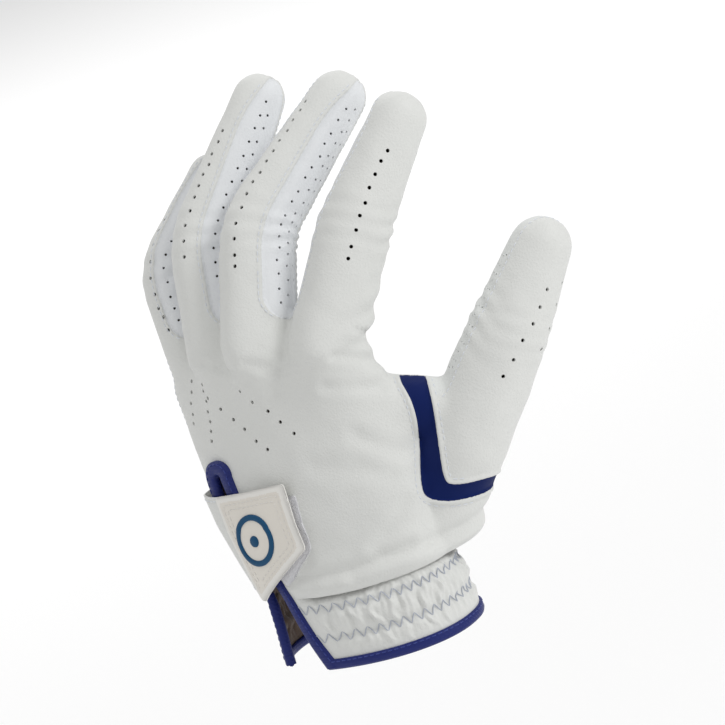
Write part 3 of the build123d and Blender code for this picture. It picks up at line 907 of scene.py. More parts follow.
def push_of(data, normals):
    """How far the worn leather stands out of the smooth form at each point."""
    points = data[:, :3]
    label, along, across, back = columns(data)
    own = own_field(data)
    x, z = points[:, 0], points[:, 2]
    push = 0.16 * ripples(points, 13, 1) + 0.05 * ripples(points, 6, 2)
    # the hand's leather bags over the gathered wrist and turns in under its fold
    fold = WRIST_FOLD + 0.8 * np.sin(points[:, 0] / 7.0)
    push += 1.9 * bump(z - fold - 3.6, 2.6) - 0.9 * bump(z - fold + 1.0, 1.2)
    push += 0.5 * bump(z - fold - 11, 2.5) - 0.5 * bump(z - fold - 7.6, 1.4)
    for (ax, az), (bx, bz), width, depth in HAND_FOLDS:
        dx, dz = bx - ax, bz - az
        share = np.clip(((x - ax) * dx + (z - az) * dz) / (dx * dx + dz * dz), 0, 1)
        gap = np.hypot(x - ax - share * dx, z - az - share * dz)
        near = np.clip(-normals[:, 1] * 3, 0, 1) * (own < 2)
        push += near * depth * (bump(gap, width) - 0.45 * bump(gap - 2 * width, width))
    # scalloped folds between the index finger and the thumb
    web_side = (label == 0) * np.clip(normals[:, 0] * 1.6 - 0.2, 0, 1) * bump(z - 100, 13)
    push += 0.9 * web_side * np.cos((z - 104) * 2 * math.pi / 8.5)
    # the joints: soft folds inside the bend and faint ones over the back
    past = along - per_label(BEND_AT, label)
    inner = np.clip(-back / 9, 0, 1) * (own > 0)
    outer = np.clip(back / 9, 0, 1) * (own > 0)
    wave = 0.5 * np.cos(past * 2 * math.pi / 5.4 + 0.15 * across)
    push += (0.9 * inner - 0.35 * outer) * wave * bump(past, 8.0)
    between = (1 - np.abs(back) / 9).clip(0, 1) * (own > 0) * (np.abs(across) > 4)
    push += 0.45 * between * np.cos(past * 2 * math.pi / 6.5 + 0.35 * back) * bump(past, 10.0)
    # stalls puff a little between their seams
    upper, lower = back_field(data), palm_field(data)
    forked = fork_half(label, along, across)[1] & (own > 0)
    lip = mm(settings("leather").lip)
    for field in (upper, lower):
        push += forked * np.where(field > 0, lip * bump(field - 0.4, 0.75), -lip * bump(field + 0.9, 0.9))
    thumb = (label == 4) & (own > 2)
    push += thumb * -0.5 * lip * bump(upper, 0.7)
    # flat under the closure tab and along the slit
    flat = np.clip((slit_field(points) + 7) / 4, 0, 1)
    t = points @ FACE_ACROSS
    under = (t < 5) & (z > 26) & (z < 60) & (normals @ BACK_NORMAL > -0.3)
    flat = np.maximum(flat, under * np.clip((5 - t) / 4, 0, 1) * bump(z - 44, 14))
    gusset = polygon_distance(GUSSET, x, z)
    front = np.clip(-normals[:, 1] * 4, 0, 1)
    push = push * (1 - flat)
    push += front * np.where(gusset > 0, -0.55 * np.clip(gusset * 2, 0, 1), 0.6 * bump(gusset + 0.7, 0.7))
    return push


def relaxed(points, tris):
    """Smooths the back of the hand below the knuckles, where the stalls run into it."""
    a, b = edges_of(tris).T
    count = np.bincount(a, minlength=len(points)) + np.bincount(b, minlength=len(points))
    top = 104 + 0.12 * (points[:, 1] - 10)
    weight = np.clip((points[:, 2] - 58) / 10, 0, 1) * np.clip((top - points[:, 2]) / 9, 0, 1)
    weight *= np.clip((45 - points[:, 0]) / 8, 0, 1) * np.clip(side_field(points) / 7, 0, 1)
    share = (weight / np.maximum(count, 1))[:, None]
    for _ in range(90):
        total = np.zeros_like(points)
        for k in range(3):
            total[:, k] = (np.bincount(a, points[b, k], len(points))
                           + np.bincount(b, points[a, k], len(points)))
        points = points * (1 - weight[:, None]) + total * share
    return points


def whole_skin():
    """All the plain forms joined into one skin, as points and triangles."""
    forms = [digit_form(DIGIT[name]) for name in DIGITS] + [hand_form()]
    forms += [bar_form(*bar) for bar in (THUMB_SEAT, WEB)]
    deselect()
    for form in forms:
        form.select_set(True)
    bpy.context.view_layer.objects.active = forms[0]
    bpy.ops.object.join()
    skin = bpy.context.object
    remesh = skin.modifiers.new("One skin", "REMESH")
    remesh.mode = "VOXEL"
    remesh.voxel_size = settings("leather").voxel
    smooth = skin.modifiers.new("Soften", "SMOOTH")
    smooth.factor, smooth.iterations = 0.5, 8
    for modifier in ("One skin", "Soften"):
        bpy.ops.object.modifier_apply(modifier=modifier)
    points, tris = read_mesh(skin)
    bpy.data.objects.remove(skin, do_unlink=True)
    return relaxed(points, tris), tris


def cuff_surface(angle, height):
    """The gathered leather between the hem and the wrist fold, and its outward direction."""
    cuff = settings("cuff")
    points, normal = hand_frame(angle, height)
    around = angle * CUFF_RADIUS
    pinch = bump(height - ZIGZAG_ROWS[0], 1.9) + bump(height - ZIGZAG_ROWS[1], 1.9)
    drift = 1.3 * np.sin(height * 0.31 + around * 0.11) + 0.8 * np.sin(height * 0.9 + around * 0.37)
    fold = (np.sin(around * 1.05 + drift) + 0.6 * np.sin(around * 1.83 + 1.7 * drift + 2.0)
            + 0.45 * np.sin(around * 2.9 + 0.8 * drift + 4.0))
    room = np.where(height > ZIGZAG_ROWS[0], 1.0, np.clip((height - 3) / 7, 0, 1))
    room = room * np.clip((25.5 - height) / 4.0, 0, 1)
    middle, half = slit_at(height)
    open_side = (points[..., 0] < -8) * np.clip(1 - (np.abs(points[..., 1] - middle) - half - 4) / 5, 0, 1)
    room = room * (1 - open_side)
    size = mm(cuff.pucker) * (1 - 0.6 * np.clip(pinch, 0, 1)) * room
    pinch = np.clip(pinch, 0, 1)
    push = size * (0.62 * fold) + 0.8 * room * (1 - pinch) - 0.35 * pinch * room
    push = push - 2.0 * np.clip((height - 21.8) / 2.5, 0, 1) * (1 - open_side)
    return points + normal * push[..., None], normal


def slit_angles(height):
    """The cuff's two edges at the slit, the one on the back first, as one run round the thumb."""
    middle, half = slit_at(height)
    return side_angle(middle - half, height) - 2 * math.pi, side_angle(middle + half, height)


def cuff_grid(rows, count, low, high, first=0.0, last=1.0):
    """Angles and heights over the cuff, from one edge of the slit round to the other."""
    height = np.linspace(low, high, rows)[:, None] + np.zeros(count)[None, :]
    start, end = slit_angles(height[:, :1])
    share = np.linspace(first, last, count)[None, :]
    return start + (end - start) * share, height


def normals_of(grid):
    across = np.gradient(grid, axis=1)
    up = np.gradient(grid, axis=0)
    normal = np.cross(across, up)
    return normal / np.maximum(np.linalg.norm(normal, axis=2), 1e-9)[..., None]


def add_cuff(pile, first, last, count):
    """A part of the gathered cuff with its zigzag rows of thread."""
    leather, cuff = settings("leather"), settings("cuff")
    angle, height = cuff_grid(56, count, 0.2, 25.6, first, last)
    grid = cuff_surface(angle, height)[0]
    normal = normals_of(grid)
    flat, turn = grid.reshape(-1, 3), normal.reshape(-1, 3)
    tris = net(height.shape)
    pile.shell(flat, tris, turn, -mm(leather.thickness), 0.0)
    thread = settings("thread")
    for level in ZIGZAG_ROWS:
        low, high = (float(x[0, 0]) for x in slit_angles(np.array([[level]])))
        span = (high - low) * CUFF_RADIUS
        total = int(span / mm(cuff.zigzag_pitch)) * 2
        knots = [k for k in range(total + 1) if first <= k / total <= last]
        for k, after in zip(knots, knots[1:]):
            share = np.linspace(k, after, 7)
            rise = np.abs((share % 2) - 1) * 2 - 1
            at = low + (high - low) * share / total
            points, out = cuff_surface(at, level + rise * mm(cuff.zigzag) / 2)
            lift = np.array([-0.1, 0.12, 0.18, 0.2, 0.18, 0.12, -0.1])
            pile.thread(points + out * lift[:, None], out, mm(thread.radius) * 1.15, 3)


# ---- materials -------------------------------------------------------------------------------------
def linear(code):
    """An sRGB hex colour as the linear values that the shaders take."""
    parts = [int(code[k:k + 2], 16) / 255 for k in (1, 3, 5)]
    return tuple(c / 12.92 if c <= 0.04045 else ((c + 0.055) / 1.055) ** 2.4 for c in parts) + (1.0,)


def add_node(tree, kind, links=(), **values):
    """Adds a shader node with its settings and links."""
    node = tree.nodes.new(kind)
    for key, value in values.items():
        title = key.replace("_", " ")
        if title in node.inputs:
            node.inputs[title].default_value = value
        else:
            setattr(node, key, value)
    for socket, source in links:
        tree.links.new(source, node.inputs[socket])
    return node


def surface(name, colour, rough, grain=0.5, depth=0.12, shade=0.06, sheen=0.0, kind="grain",
            gloss=0.4):
    """A material whose fine relief is grain millimetres wide; kind is grain, weave, pile or plain."""
    if name in bpy.data.materials:
        return bpy.data.materials[name]
    material = bpy.data.materials.new(name)
    material.use_nodes = True
    tree = material.node_tree
    shader = tree.nodes["Principled BSDF"]
    shader.inputs["Roughness"].default_value = rough
    shader.inputs["Sheen Weight"].default_value = sheen
    shader.inputs["Specular IOR Level"].default_value = gloss
    place = add_node(tree, "ShaderNodeTexCoord").outputs["Object"]
    base = linear(colour)
    dark = tuple(c * (1 - shade) for c in base[:3]) + (1.0,)
    cloud = add_node(tree, "ShaderNodeTexNoise", [("Vector", place)], Scale=70.0, Detail=3.0)
    mix = add_node(tree, "ShaderNodeMix", [("Factor", cloud.outputs["Fac"])], data_type="RGBA")
    mix.inputs[6].default_value, mix.inputs[7].default_value = dark, base
    tree.links.new(mix.outputs[2], shader.inputs["Base Color"])
    scale = 1 / (grain * MM)
    if kind == "weave":
        over = add_node(tree, "ShaderNodeTexWave", [("Vector", place)], Scale=scale / 6.3,
                        Distortion=0.6, bands_direction="DIAGONAL")
        under = add_node(tree, "ShaderNodeTexWave", [("Vector", place)], Scale=scale / 6.3,
                         Distortion=0.6, bands_direction="Z")
        height = add_node(tree, "ShaderNodeMath", [(0, over.outputs["Fac"]), (1, under.outputs["Fac"])],
                          operation="MULTIPLY").outputs[0]
    elif kind == "pile":
        height = add_node(tree, "ShaderNodeTexNoise", [("Vector", place)], Scale=scale * 1.4,
                          Detail=6.0, Roughness=0.8).outputs["Fac"]
    else:
        cells = add_node(tree, "ShaderNodeTexVoronoi", [("Vector", place)], Scale=scale,
                         feature="SMOOTH_F1", Smoothness=0.6)
        fine = add_node(tree, "ShaderNodeTexNoise", [("Vector", place)], Scale=scale * 2.2, Detail=4.0)
        height = add_node(tree, "ShaderNodeMath",
                          [(0, cells.outputs["Distance"]), (1, fine.outputs["Fac"])],
                          operation="ADD").outputs[0]
    if kind != "plain":
        relief = add_node(tree, "ShaderNodeBump", [("Height", height)], Strength=1.0,
                          Distance=depth * MM)
        tree.links.new(relief.outputs["Normal"], shader.inputs["Normal"])
    return material


def leather_materials(part="body"):
    leather, thread = settings("leather"), settings("thread")
    # soft white sheepskin with a fine grain
    face = surface("White leather", leather.white, 0.62, 0.75, 0.10, 0.03, 0.12)
    if part == "fork":
        # thinner stretch leather between the fingers
        face = surface("Fork leather", leather.fork_white, 0.66, 0.6, 0.07, 0.02, 0.12)
    if part == "thumb":
        # finely pierced leather inside the thumb
        face = surface("Pierced leather", "#DCDEDC", 0.7, 0.6, 0.10, 0.04, 0.1)
    return [
        face,
        # brushed flesh side of the leather; its brown is partly the lining's own colour and partly painted
        # shade, darkened so that the glove's inside and its holes look shadowed
        surface("Suede lining with painted shade", leather.suede, 0.95, 0.4, 0.12, 0.15, 0.3, "pile"),
        # bonded nylon sewing thread
        surface("White thread", thread.colour, 0.55, 0.25, 0.04, 0.1, 0.1, "weave"),
        # grey-blue thread of the zigzag rows
        surface("Grey thread", "#B9BEC8", 0.6, 0.25, 0.04, 0.1, 0.0, "weave"),
        # navy microfibre suede
        surface("Navy microfibre", leather.navy, 0.85, 0.35, 0.06, 0.2, 0.06, "pile", 0.15),
    ]


def binding_materials():
    # woven nylon binding tape
    tape = surface("Navy binding tape", settings("leather").binding, 0.5, 0.5, 0.08, 0.12, 0.03, "weave", 0.3)
    return [
        tape,
        tape,
        # navy sewing thread
        surface("Navy thread", "#2B3C8E", 0.5, 0.25, 0.04, 0.1, 0.1, "weave"),
    ]


# ---- the leather -----------------------------------------------------------------------------------
# columns of the skin's data: 0 to 2 place, then four for each digit, then these; TURN starts the
# three of the way that the leather faces
HOLE, GUSSET_IN, SLIT_IN, SIDE_IN, TURN = 23, 24, 25, 26, 27
FACING = TURN + 1       # the facing's y, negative where it faces the back of the hand
HAND_KEY = 900          # pieces of the hand are numbered from here
BACK, PALM, ULNAR, RADIAL = range(4)
PART_NAMES = {BACK: "back", PALM: "palm", ULNAR: "fork_ulnar", RADIAL: "fork_radial"}


def near_seam(rows):
    """Where the net has to be finer, beside the seams, the band and the slit."""
    label, along, across, _ = columns(rows)
    own = own_field(rows) > -1
    forked = fork_half(label, along, across)[1] | (label == 4)
    seam = own & forked & (np.minimum(np.abs(back_field(rows)), np.abs(palm_field(rows))) < 1.7)
    band = (np.abs(polygon_distance(GUSSET, rows[:, 0], rows[:, 2]) + 0.6) < 1.8) & (rows[:, 1] < 8)
    return seam | band | (np.abs(slit_field(rows[:, :3])) < 1.2)


def prepared_skin():
    """The glove's skin with every seam, hole and opening cut into its triangles."""
    points, tris = whole_skin()
    data = annotate(points)
    holes, fine = punched_holes(data), fine_holes(data)
    data, tris = refine(data, tris, near_seam)
    for room in (1.2, 0.4):
        data, tris = refine(data, tris, lambda rows: in_hole(rows[:, :3], holes) > -room)
    for room in (0.8, 0.4):
        data, tris = refine(data, tris, lambda rows: in_hole(rows[:, :3], fine) > -room)
    hole = np.maximum(in_hole(data[:, :3], holes), in_hole(data[:, :3], fine))
    normals = vertex_normals(data[:, :3], tris)
    extra = [hole, polygon_distance(GUSSET, data[:, 0], data[:, 2]), slit_field(data[:, :3]),
             side_field(data[:, :3])]
    data = np.hstack([data, np.stack(extra, 1)])
    data[:, :3] += normals * push_of(data, normals)[:, None]
    data = np.hstack([data, vertex_normals(data[:, :3], tris)])

    data, tris = cut_line(data, tris, own_field(data))
    for field, keep in ((half_field, lambda d: own_field(d) > 0.5),
                        (back_field, lambda d: own_field(d) > -1e-6),
                        (palm_field, lambda d: own_field(d) > -1e-6),
                        (lambda d: d[:, HOLE], lambda d: np.abs(d[:, HOLE]) < 2),
                        (lambda d: d[:, GUSSET_IN], lambda d: d[:, FACING] < -0.05),
                        (lambda d: d[:, SLIT_IN], lambda d: np.abs(d[:, SLIT_IN]) < 4),
                        (lambda d: d[:, 2] - WRIST_FOLD, lambda d: d[:, 2] < 40),
                        (lambda d: d[:, SIDE_IN], lambda d: own_field(d) < 1e-6)):
        data, tris = cut_line(data, tris, field(data), keep(data))
    data[:, TURN:TURN + 3] /= np.linalg.norm(data[:, TURN:TURN + 3], axis=1)[:, None]
    return data, tris


def keys_of(rows):
    """Which piece each row belongs to: digit, 0 for the hand, 1 or 2 along the stall, and part."""
    label, _, across, _ = columns(rows)
    own = own_field(rows) > 0
    level = np.where(own, np.where(half_field(rows) > 0, 2, 1), 0)
    part = np.where(back_field(rows) > 0, BACK, np.where(palm_field(rows) > 0, PALM,
                    np.where(across > 0, ULNAR, RADIAL)))
    hand_part = np.where(rows[:, SIDE_IN] > 0, BACK, PALM)
    return np.where(own, label * 100 + level * 10 + part, HAND_KEY + hand_part)


def add_seam_stitches(piles, data, tris):
    """Rows of stitches beside each seam, each in the piece that it holds."""
    thread = settings("thread")
    sizes = mm(thread.radius), mm(thread.stitch), mm(thread.pitch)
    label, along, across, _ = columns(data)
    own = own_field(data)
    forked = fork_half(label, along, across)[1]
    reach = per_label(REACH, label)
    on_stall = (own > 0.4) & forked & (along < reach - 5)
    z, front = data[:, 2], data[:, FACING] < -0.1
    lines = [
        (back_field(data) - 1.0, on_stall), (palm_field(data) - 1.0, on_stall),
        (back_field(data) - 1.0, (label == 4) & (own > 1)),
        (-data[:, GUSSET_IN] - 1.9, front & (own < 1)),
        (data[:, SIDE_IN] - 1.5, (own < -1) & (data[:, 0] < -20) & (z > SLIT_LENGTH + 8)),
    ]
    for field, keep in lines:
        for chain in contour(data, tris[keep[tris].all(1)], field):
            keys = keys_of(chain)
            breaks = np.flatnonzero(np.diff(keys)) + 1
            for run in np.split(np.arange(len(chain)), breaks):
                if len(run) > 4 and int(keys[run[0]]) in piles:
                    rows = chain[run]
                    piles[int(keys[run[0]])].stitches(rows[:, :3], rows[:, TURN:TURN + 3], *sizes)


def replaced_nodes(name, level, part):
    """CAD nodes that a stall's piece takes the place of."""
    nodes = [f"{name}_{PART_NAMES[part]}_{'base' if level == 1 else 'tip'}"]
    if part == BACK:
        nodes.append(f"{name}_knuckle_bend" if level == 1 else f"{name}_middle_bend")
    return [node for node in nodes if node in frame["nodes"]]


def sew_leather():
    """Cuts the skin into the glove's pieces and gives each its wall and stitches."""
    data, tris = prepared_skin()
    thickness = mm(settings("leather").thickness)
    means = data[tris].mean(1)
    gone = (means[:, HOLE] > 0) | (means[:, SLIT_IN] > 0) | (means[:, 2] < WRIST_FOLD)
    band = (means[:, GUSSET_IN] > 0) & (means[:, FACING] < -0.05)
    keys = keys_of(means)
    normals = data[:, TURN:TURN + 3]
    piles = {}
    for key in np.unique(keys[~gone]).tolist():
        chosen = (keys == key) & ~gone
        if chosen.sum() < 60:
            continue
        pile = piles.setdefault(key, Pile())
        pile.shell(data, tris[chosen & ~band], normals, -thickness, 0.0)
        if key < HAND_KEY and (chosen & band).any():
            pile.shell(data, tris[chosen & band], normals, -thickness, 0.0, (4, 1))
    gusset = Pile()
    gusset.shell(data, tris[band & ~gone & (keys >= HAND_KEY)], normals, -thickness, 0.0, (4, 1))
    add_seam_stitches(piles, data, tris)
    # the cuff's leather runs on from the hand's, under the wrist fold
    add_cuff(piles[HAND_KEY + BACK], 0.0, 0.52, 170)
    add_cuff(piles[HAND_KEY + PALM], 0.52, 1.0, 150)
    for key, pile in piles.items():
        if key >= HAND_KEY:
            word = PART_NAMES[key - HAND_KEY]
            obj = pile.make(f"{word}_leather", leather_materials())
            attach(obj, "hand")
            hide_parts(f"{word}_panel")
            continue
        name, level, part = DIGITS[key // 100], key // 10 % 10, key % 10
        look = "fork" if part in (ULNAR, RADIAL) else "thumb" if (name, part) == ("thumb", PALM) else "body"
        place = "lower" if level == 1 else "upper"
        obj = pile.make(f"{name}_{PART_NAMES[part]}_{place}", leather_materials(look))
        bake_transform(obj)
        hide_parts(*replaced_nodes(name, level, part))
    obj = gusset.make("navy_gusset", leather_materials())
    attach(obj, "hand")
    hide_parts("thumb_gusset_band")


# ---- the bound edges and the elastic ----------------------------------------------------------------
def bind_hem():
    """The folded tape round the hem, with its row of stitches."""
    cuff = settings("cuff")
    wide = mm(cuff.hem)
    profile = np.array([(0.1, wide + 0.1), (0.6, wide), (0.8, wide * 0.6), (0.75, 0.7), (0.3, -0.1),
                        (-0.4, -0.4), (-1.1, -0.1), (-1.5, 0.7), (-1.55, wide * 0.6), (-1.4, wide),
                        (-0.9, wide + 0.1)])
    angle, height = cuff_grid(len(profile), 360, 0, 0)
    height = height + profile[:, 1][:, None]
    lift = profile[:, 0][:, None, None]
    points, normal = cuff_surface(angle, np.clip(height, 0, 30))
    points[..., 2] = height
    grid = (points + normal * lift).transpose(1, 0, 2)
    pile = Pile()
    pile.grid(grid[:, ::-1], closed=True)
    for row in (0, -1):
        ring = np.arange(len(profile))[None, :]
        pile.add(grid[row], ring if row == 0 else ring[:, ::-1])
    thread = settings("thread")
    line = grid[:, 1] * 0.5 + grid[:, 2] * 0.5
    pile.stitches(line[3:-3], normal[2][3:-3], mm(thread.radius), mm(thread.stitch), mm(thread.pitch),
                  lift=0.08)
    obj = pile.make("hem_tape", binding_materials())
    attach(obj, "hand")
    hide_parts("hem_binding")


def bind_slit():
    """The folded tape up one side of the slit, round its end and down the other side."""
    width = mm(settings("cuff").hem)
    heights = np.linspace(0.2, SLIT_LENGTH, 150)
    middle, half = slit_at(heights)
    lean = (SLIT_HEAD - SLIT_FOOT) / SLIT_LENGTH
    first = np.stack([middle - half, heights], 1)
    last = np.stack([middle + half, heights], 1)[::-1]
    turn = np.linspace(math.pi, 0, 26)[1:-1]
    arc = np.stack([SLIT_HEAD + SLIT_END / 2 * np.cos(turn),
                    SLIT_LENGTH + SLIT_END / 2 * np.sin(turn)], 1)
    path = np.vstack([first, arc, last])
    away = np.vstack([np.tile([-1.0, lean * 0.5], (150, 1)), np.stack([np.cos(turn), np.sin(turn)], 1),
                      np.tile([1.0, -lean * 0.5], (150, 1))])
    profile = np.array([(-0.35, -0.4), (-0.3, 0.35), (0.3, 0.8), (width * 0.6, 0.85), (width - 0.1, 0.7),
                        (width, 0.1), (width, -0.9), (width - 0.1, -1.5), (width * 0.6, -1.6),
                        (0.3, -1.5), (-0.3, -1.1)])
    # the tape is fuller round the slit's end and on the flap on the little finger's side
    fuller = 1 + 0.35 * np.clip((path[:, 1] - 50) / 8, 0, 1)
    fuller[len(first) + len(arc):] += 0.45 * np.clip((26 - last[:, 1]) / 6, 0, 1)
    profile = profile[None, :, :] * fuller[:, None, None]
    place = path[:, None, :] + away[:, None, :] * profile[..., :1]
    y, z = place[..., 0], np.maximum(place[..., 1], 0.0)
    angle = side_angle(y, z)
    points, normal = hand_frame(angle, z)
    grid = points + normal * profile[..., 1:]
    pile = Pile()
    pile.grid(grid, closed=True)
    ring = np.arange(grid.shape[1])[None, :]
    pile.add(grid[0], ring[:, ::-1])
    pile.add(grid[-1], ring)
    thread = settings("thread")
    line = grid[:, 3] * 0.6 + grid[:, 4] * 0.4
    pile.stitches(line[4:-4], normal[4:-4, 3], mm(thread.radius), mm(thread.stitch), mm(thread.pitch),
                  lift=0.08)
    obj = pile.make("slit_tape", binding_materials())
    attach(obj, "hand")
    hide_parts("slit_binding")


def lay_elastic():
    """The elastic tape inside the cuff, on the back of the wrist."""
    angle, height = cuff_grid(20, 150, 8.8, 21.6, 0.04, 0.50)
    points, normal = cuff_surface(angle, height)
    flat = (points - normal * 0.2).reshape(-1, 3)
    tris = net(height.shape)
    pile = Pile()
    pile.shell(flat, tris, normal.reshape(-1, 3), -1.5, -0.75, (0, 0))
    # knitted elastic tape
    tape = surface("Elastic tape", "#DADCDF", 0.8, 0.6, 0.15, 0.1, 0.1, "weave")
    obj = pile.make("elastic_tape", [tape])
    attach(obj, "hand")
    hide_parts("wrist_elastic")


# ---- the closure tab ---------------------------------------------------------------------------------
# outlines as (distance along the tab, height)
TAB = [(-33.5, 60.8), (-1.6, 62.6), (3.2, 41.0), (-22.0, 24.4)]
STRAP = [(-60.0, 60.0), (-3.0, 61.2), (0.3, 41.2), (-22.2, 26.2), (-60.0, 31.0)]
LOOP = [(-23.5, 55.5), (0.5, 58.5), (3.6, 40.6), (-9.5, 28.5), (-12.5, 31.0)]
HOOK = [(-26.0, 54.5), (-4.0, 57.0), (-1.0, 42.0), (-21.0, 29.0), (-25.0, 31.0)]
MARK = (-16.5, 46.0)
MARK_RADIUS = 7.5
TAB_ROOT, PAD_ROOT, PATCH_END = (math.radians(turn) for turn in (-183, -170, -40))
BACK_RADIUS = 32        # turns an angle round the back of the hand into millimetres
SKIN_LIFT = 2.7         # how far the moulded skin lies over the leather
HOOK_LIFT = (1.35, 2.1)


def face_patch(outline, root, radius=0.5, step=0.5):
    """A fine net over an outline on the back of the hand, cut to it; root is the angle it ends at."""
    outline = np.array(outline)
    low, high = outline[:, 1].min() - 1, outline[:, 1].max() + 1
    height, angle = np.meshgrid(np.arange(low, high, step), np.arange(root, PATCH_END, step / BACK_RADIUS),
                                indexing="ij")
    points, normal = hand_frame(angle, height)
    tris = net(height.shape)
    data = np.hstack([points.reshape(-1, 3), angle.reshape(-1, 1), normal.reshape(-1, 3)])
    field = outline_field(outline, data[:, :3] @ FACE_ACROSS, data[:, 2], radius)
    field = np.minimum(field, (data[:, 3] - root) * BACK_RADIUS - 0.01 + 1.0)
    data, tris = cut_line(data, tris, field)
    field = outline_field(outline, data[:, :3] @ FACE_ACROSS, data[:, 2], radius)
    tris = tris[field[tris].mean(1) > 0]
    return data, tris, field


def round_over(field, size):
    """Height of a rounded edge, 0 at the outline and 1 at size inside it."""
    return np.sqrt(np.clip(1 - (1 - np.clip(field / size, 0, 1)) ** 2, 0, 1))


def make_tab():
    """The moulded skin of the closure tab, with its rim and two sewn grooves."""
    tab, thread = settings("tab"), settings("thread")
    # moulded polyurethane skin
    skin = surface("Tab skin", tab.skin, 0.42, 0.9, 0.03, 0.02, 0.05, "grain", 0.5)
    # white rim where the skin is folded over
    rim = surface("Tab rim", "#ECEAE5", 0.5, 0.9, 0.02, 0.02)
    groove = surface("Tab thread", "#E6E3DD", 0.55, 0.25, 0.03, 0.08, 0.05, "weave")
    data, tris, field = face_patch(TAB, TAB_ROOT)
    normals = data[:, 4:7]
    base, top = SKIN_LIFT, SKIN_LIFT + mm(tab.thickness)
    edge = np.minimum(field, 99)
    crown = 0.35 * bump(edge - 1.2, 0.9) - 0.12 * bump(edge - 3.1, 0.5) - 0.12 * bump(edge - 4.7, 0.5)
    high = base + (top - base) * (0.25 + 0.75 * round_over(edge, 1.3)) + crown * (edge > 0)
    pile = Pile()
    middle = field[tris].mean(1)
    pile.shell(data, tris[middle > 2.0], normals, base, high, (0, 0))
    pile.shell(data, tris[middle <= 2.0], normals, base, high, (1, 0))
    surface_points = data.copy()
    surface_points[:, :3] += normals * high[:, None]
    for level in (3.1, 4.7):
        for chain in contour(surface_points, tris, field - level):
            if len(chain) > 10:
                pile.stitches(chain[:, :3], chain[:, 4:7], mm(thread.radius) * 1.2, mm(thread.stitch),
                              mm(thread.pitch), lift=-0.02)
    obj = pile.make("tab_skin", [skin, rim, groove])
    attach(obj, "closure_tab")
    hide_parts("tab_cover")


def make_tab_layers():
    """The strap under the skin, the hook tape under that, and the loop tape on the hand."""
    tab, thread = settings("tab"), settings("thread")
    data, tris, field = face_patch(STRAP, TAB_ROOT, step=0.6)
    # the leather strap lies on the glove at its root and climbs over the pads towards the point
    climb = np.clip((data[:, 3] - TAB_ROOT) * BACK_RADIUS / 14, 0, 1)
    climb = climb * climb * (3 - 2 * climb)
    puff = 0.25 * ripples(data[:, :3], 6, 5) * (1 - climb)
    high = 0.7 + 1.96 * climb + puff
    pile = Pile()
    pile.shell(data, tris, data[:, 4:7], high - 0.6, high, (0, 1))
    laid = data.copy()
    laid[:, :3] += data[:, 4:7] * high[:, None]
    for chain in contour(laid, tris, field - 1.4):
        rows = chain[(chain[:, :3] @ FACE_ACROSS) < -24]
        if len(rows) > 10:
            pile.stitches(rows[:, :3], rows[:, 4:7], mm(thread.radius), mm(thread.stitch),
                          mm(thread.pitch))
    linings = leather_materials()
    # knitted polyester lining under the strap
    linings[1] = surface("Knitted lining", "#DEDEDC", 0.85, 0.6, 0.15, 0.08, 0.15, "weave")
    obj = pile.make("tab_strap", linings)
    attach(obj, "closure_tab")
    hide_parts("tab_backing")
    # hook tape: rows of nylon hooks on a woven ground
    hook = surface("Hook tape", tab.pad, 0.7, 0.8, 0.35, 0.12, 0.1, "weave")
    data, tris, field = face_patch(HOOK, PAD_ROOT, step=0.8)
    pile = Pile()
    pile.shell(data, tris, data[:, 4:7], *HOOK_LIFT, (0, 0))
    obj = pile.make("hook_patch", [hook])
    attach(obj, "closure_tab")
    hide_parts("hook_pad")
    # loop tape: a napped knitted pile
    loop = surface("Loop tape", tab.pad, 0.95, 0.5, 0.4, 0.1, 0.35, "pile")
    data, tris, field = face_patch(LOOP, PAD_ROOT, step=0.7)
    high = 0.35 + 0.65 * round_over(field, 1.0)
    pile = Pile()
    pile.shell(data, tris, data[:, 4:7], 0.0, high, (0, 0))
    obj = pile.make("loop_patch", [loop])
    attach(obj, "hand")
    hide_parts("loop_pad")


def make_mark():
    """A plain raised ring with a dot on the tab."""
    tab = settings("tab")
    # moulded silicone
    rubber = surface("Mark rubber", tab.mark, 0.5, 0.5, 0.02, 0.05, 0.0, "plain", 0.25)
    top = SKIN_LIFT + mm(tab.thickness) - 0.15
    turn = np.linspace(0, 2 * math.pi, 97)[:-1]
    pile = Pile()
    ring = np.array([(-1.0, 0.0), (-0.95, 0.45), (-0.6, 0.68), (0, 0.72), (0.6, 0.68), (0.95, 0.45),
                     (1.0, 0.0)])
    dot = np.array([(0.01, 0.72), (1.2, 0.70), (1.8, 0.5), (2.0, 0.0)])
    for profile, radius in ((ring, MARK_RADIUS), (dot, 0.0)):
        reach = radius + profile[:, 0][:, None]
        across = MARK[0] + reach * np.cos(turn)
        height = MARK[1] + reach * np.sin(turn)
        angle = face_angle(across, height)
        points, normal = hand_frame(angle, height)
        grid = points + normal * (top + profile[:, 1])[:, None, None]
        closed = np.concatenate([grid, (points[:1] + points[-1:]) / 2 + normal[:1] * (top - 0.05)])
        rows = closed if radius else grid
        pile.grid(rows[::-1], closed=True)
        if radius:
            pile.grid(np.stack([closed[0], closed[-1]]), closed=True)
    obj = pile.make("tab_mark", [rubber])
    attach(obj, "closure_tab")
    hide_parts("tab_emblem")


# ---- the stage -------------------------------------------------------------------------------------
def area_light(name, place, size, power, aim):
    light = bpy.data.lights.new(name, "AREA")
    light.shape, light.size, light.energy = "DISK", size, power
    obj = bpy.data.objects.new(name, light)
    obj.location = place
    obj.rotation_euler = (Vector(aim) - Vector(place)).to_track_quat("-Z", "Y").to_euler()
    bpy.context.scene.collection.objects.link(obj)


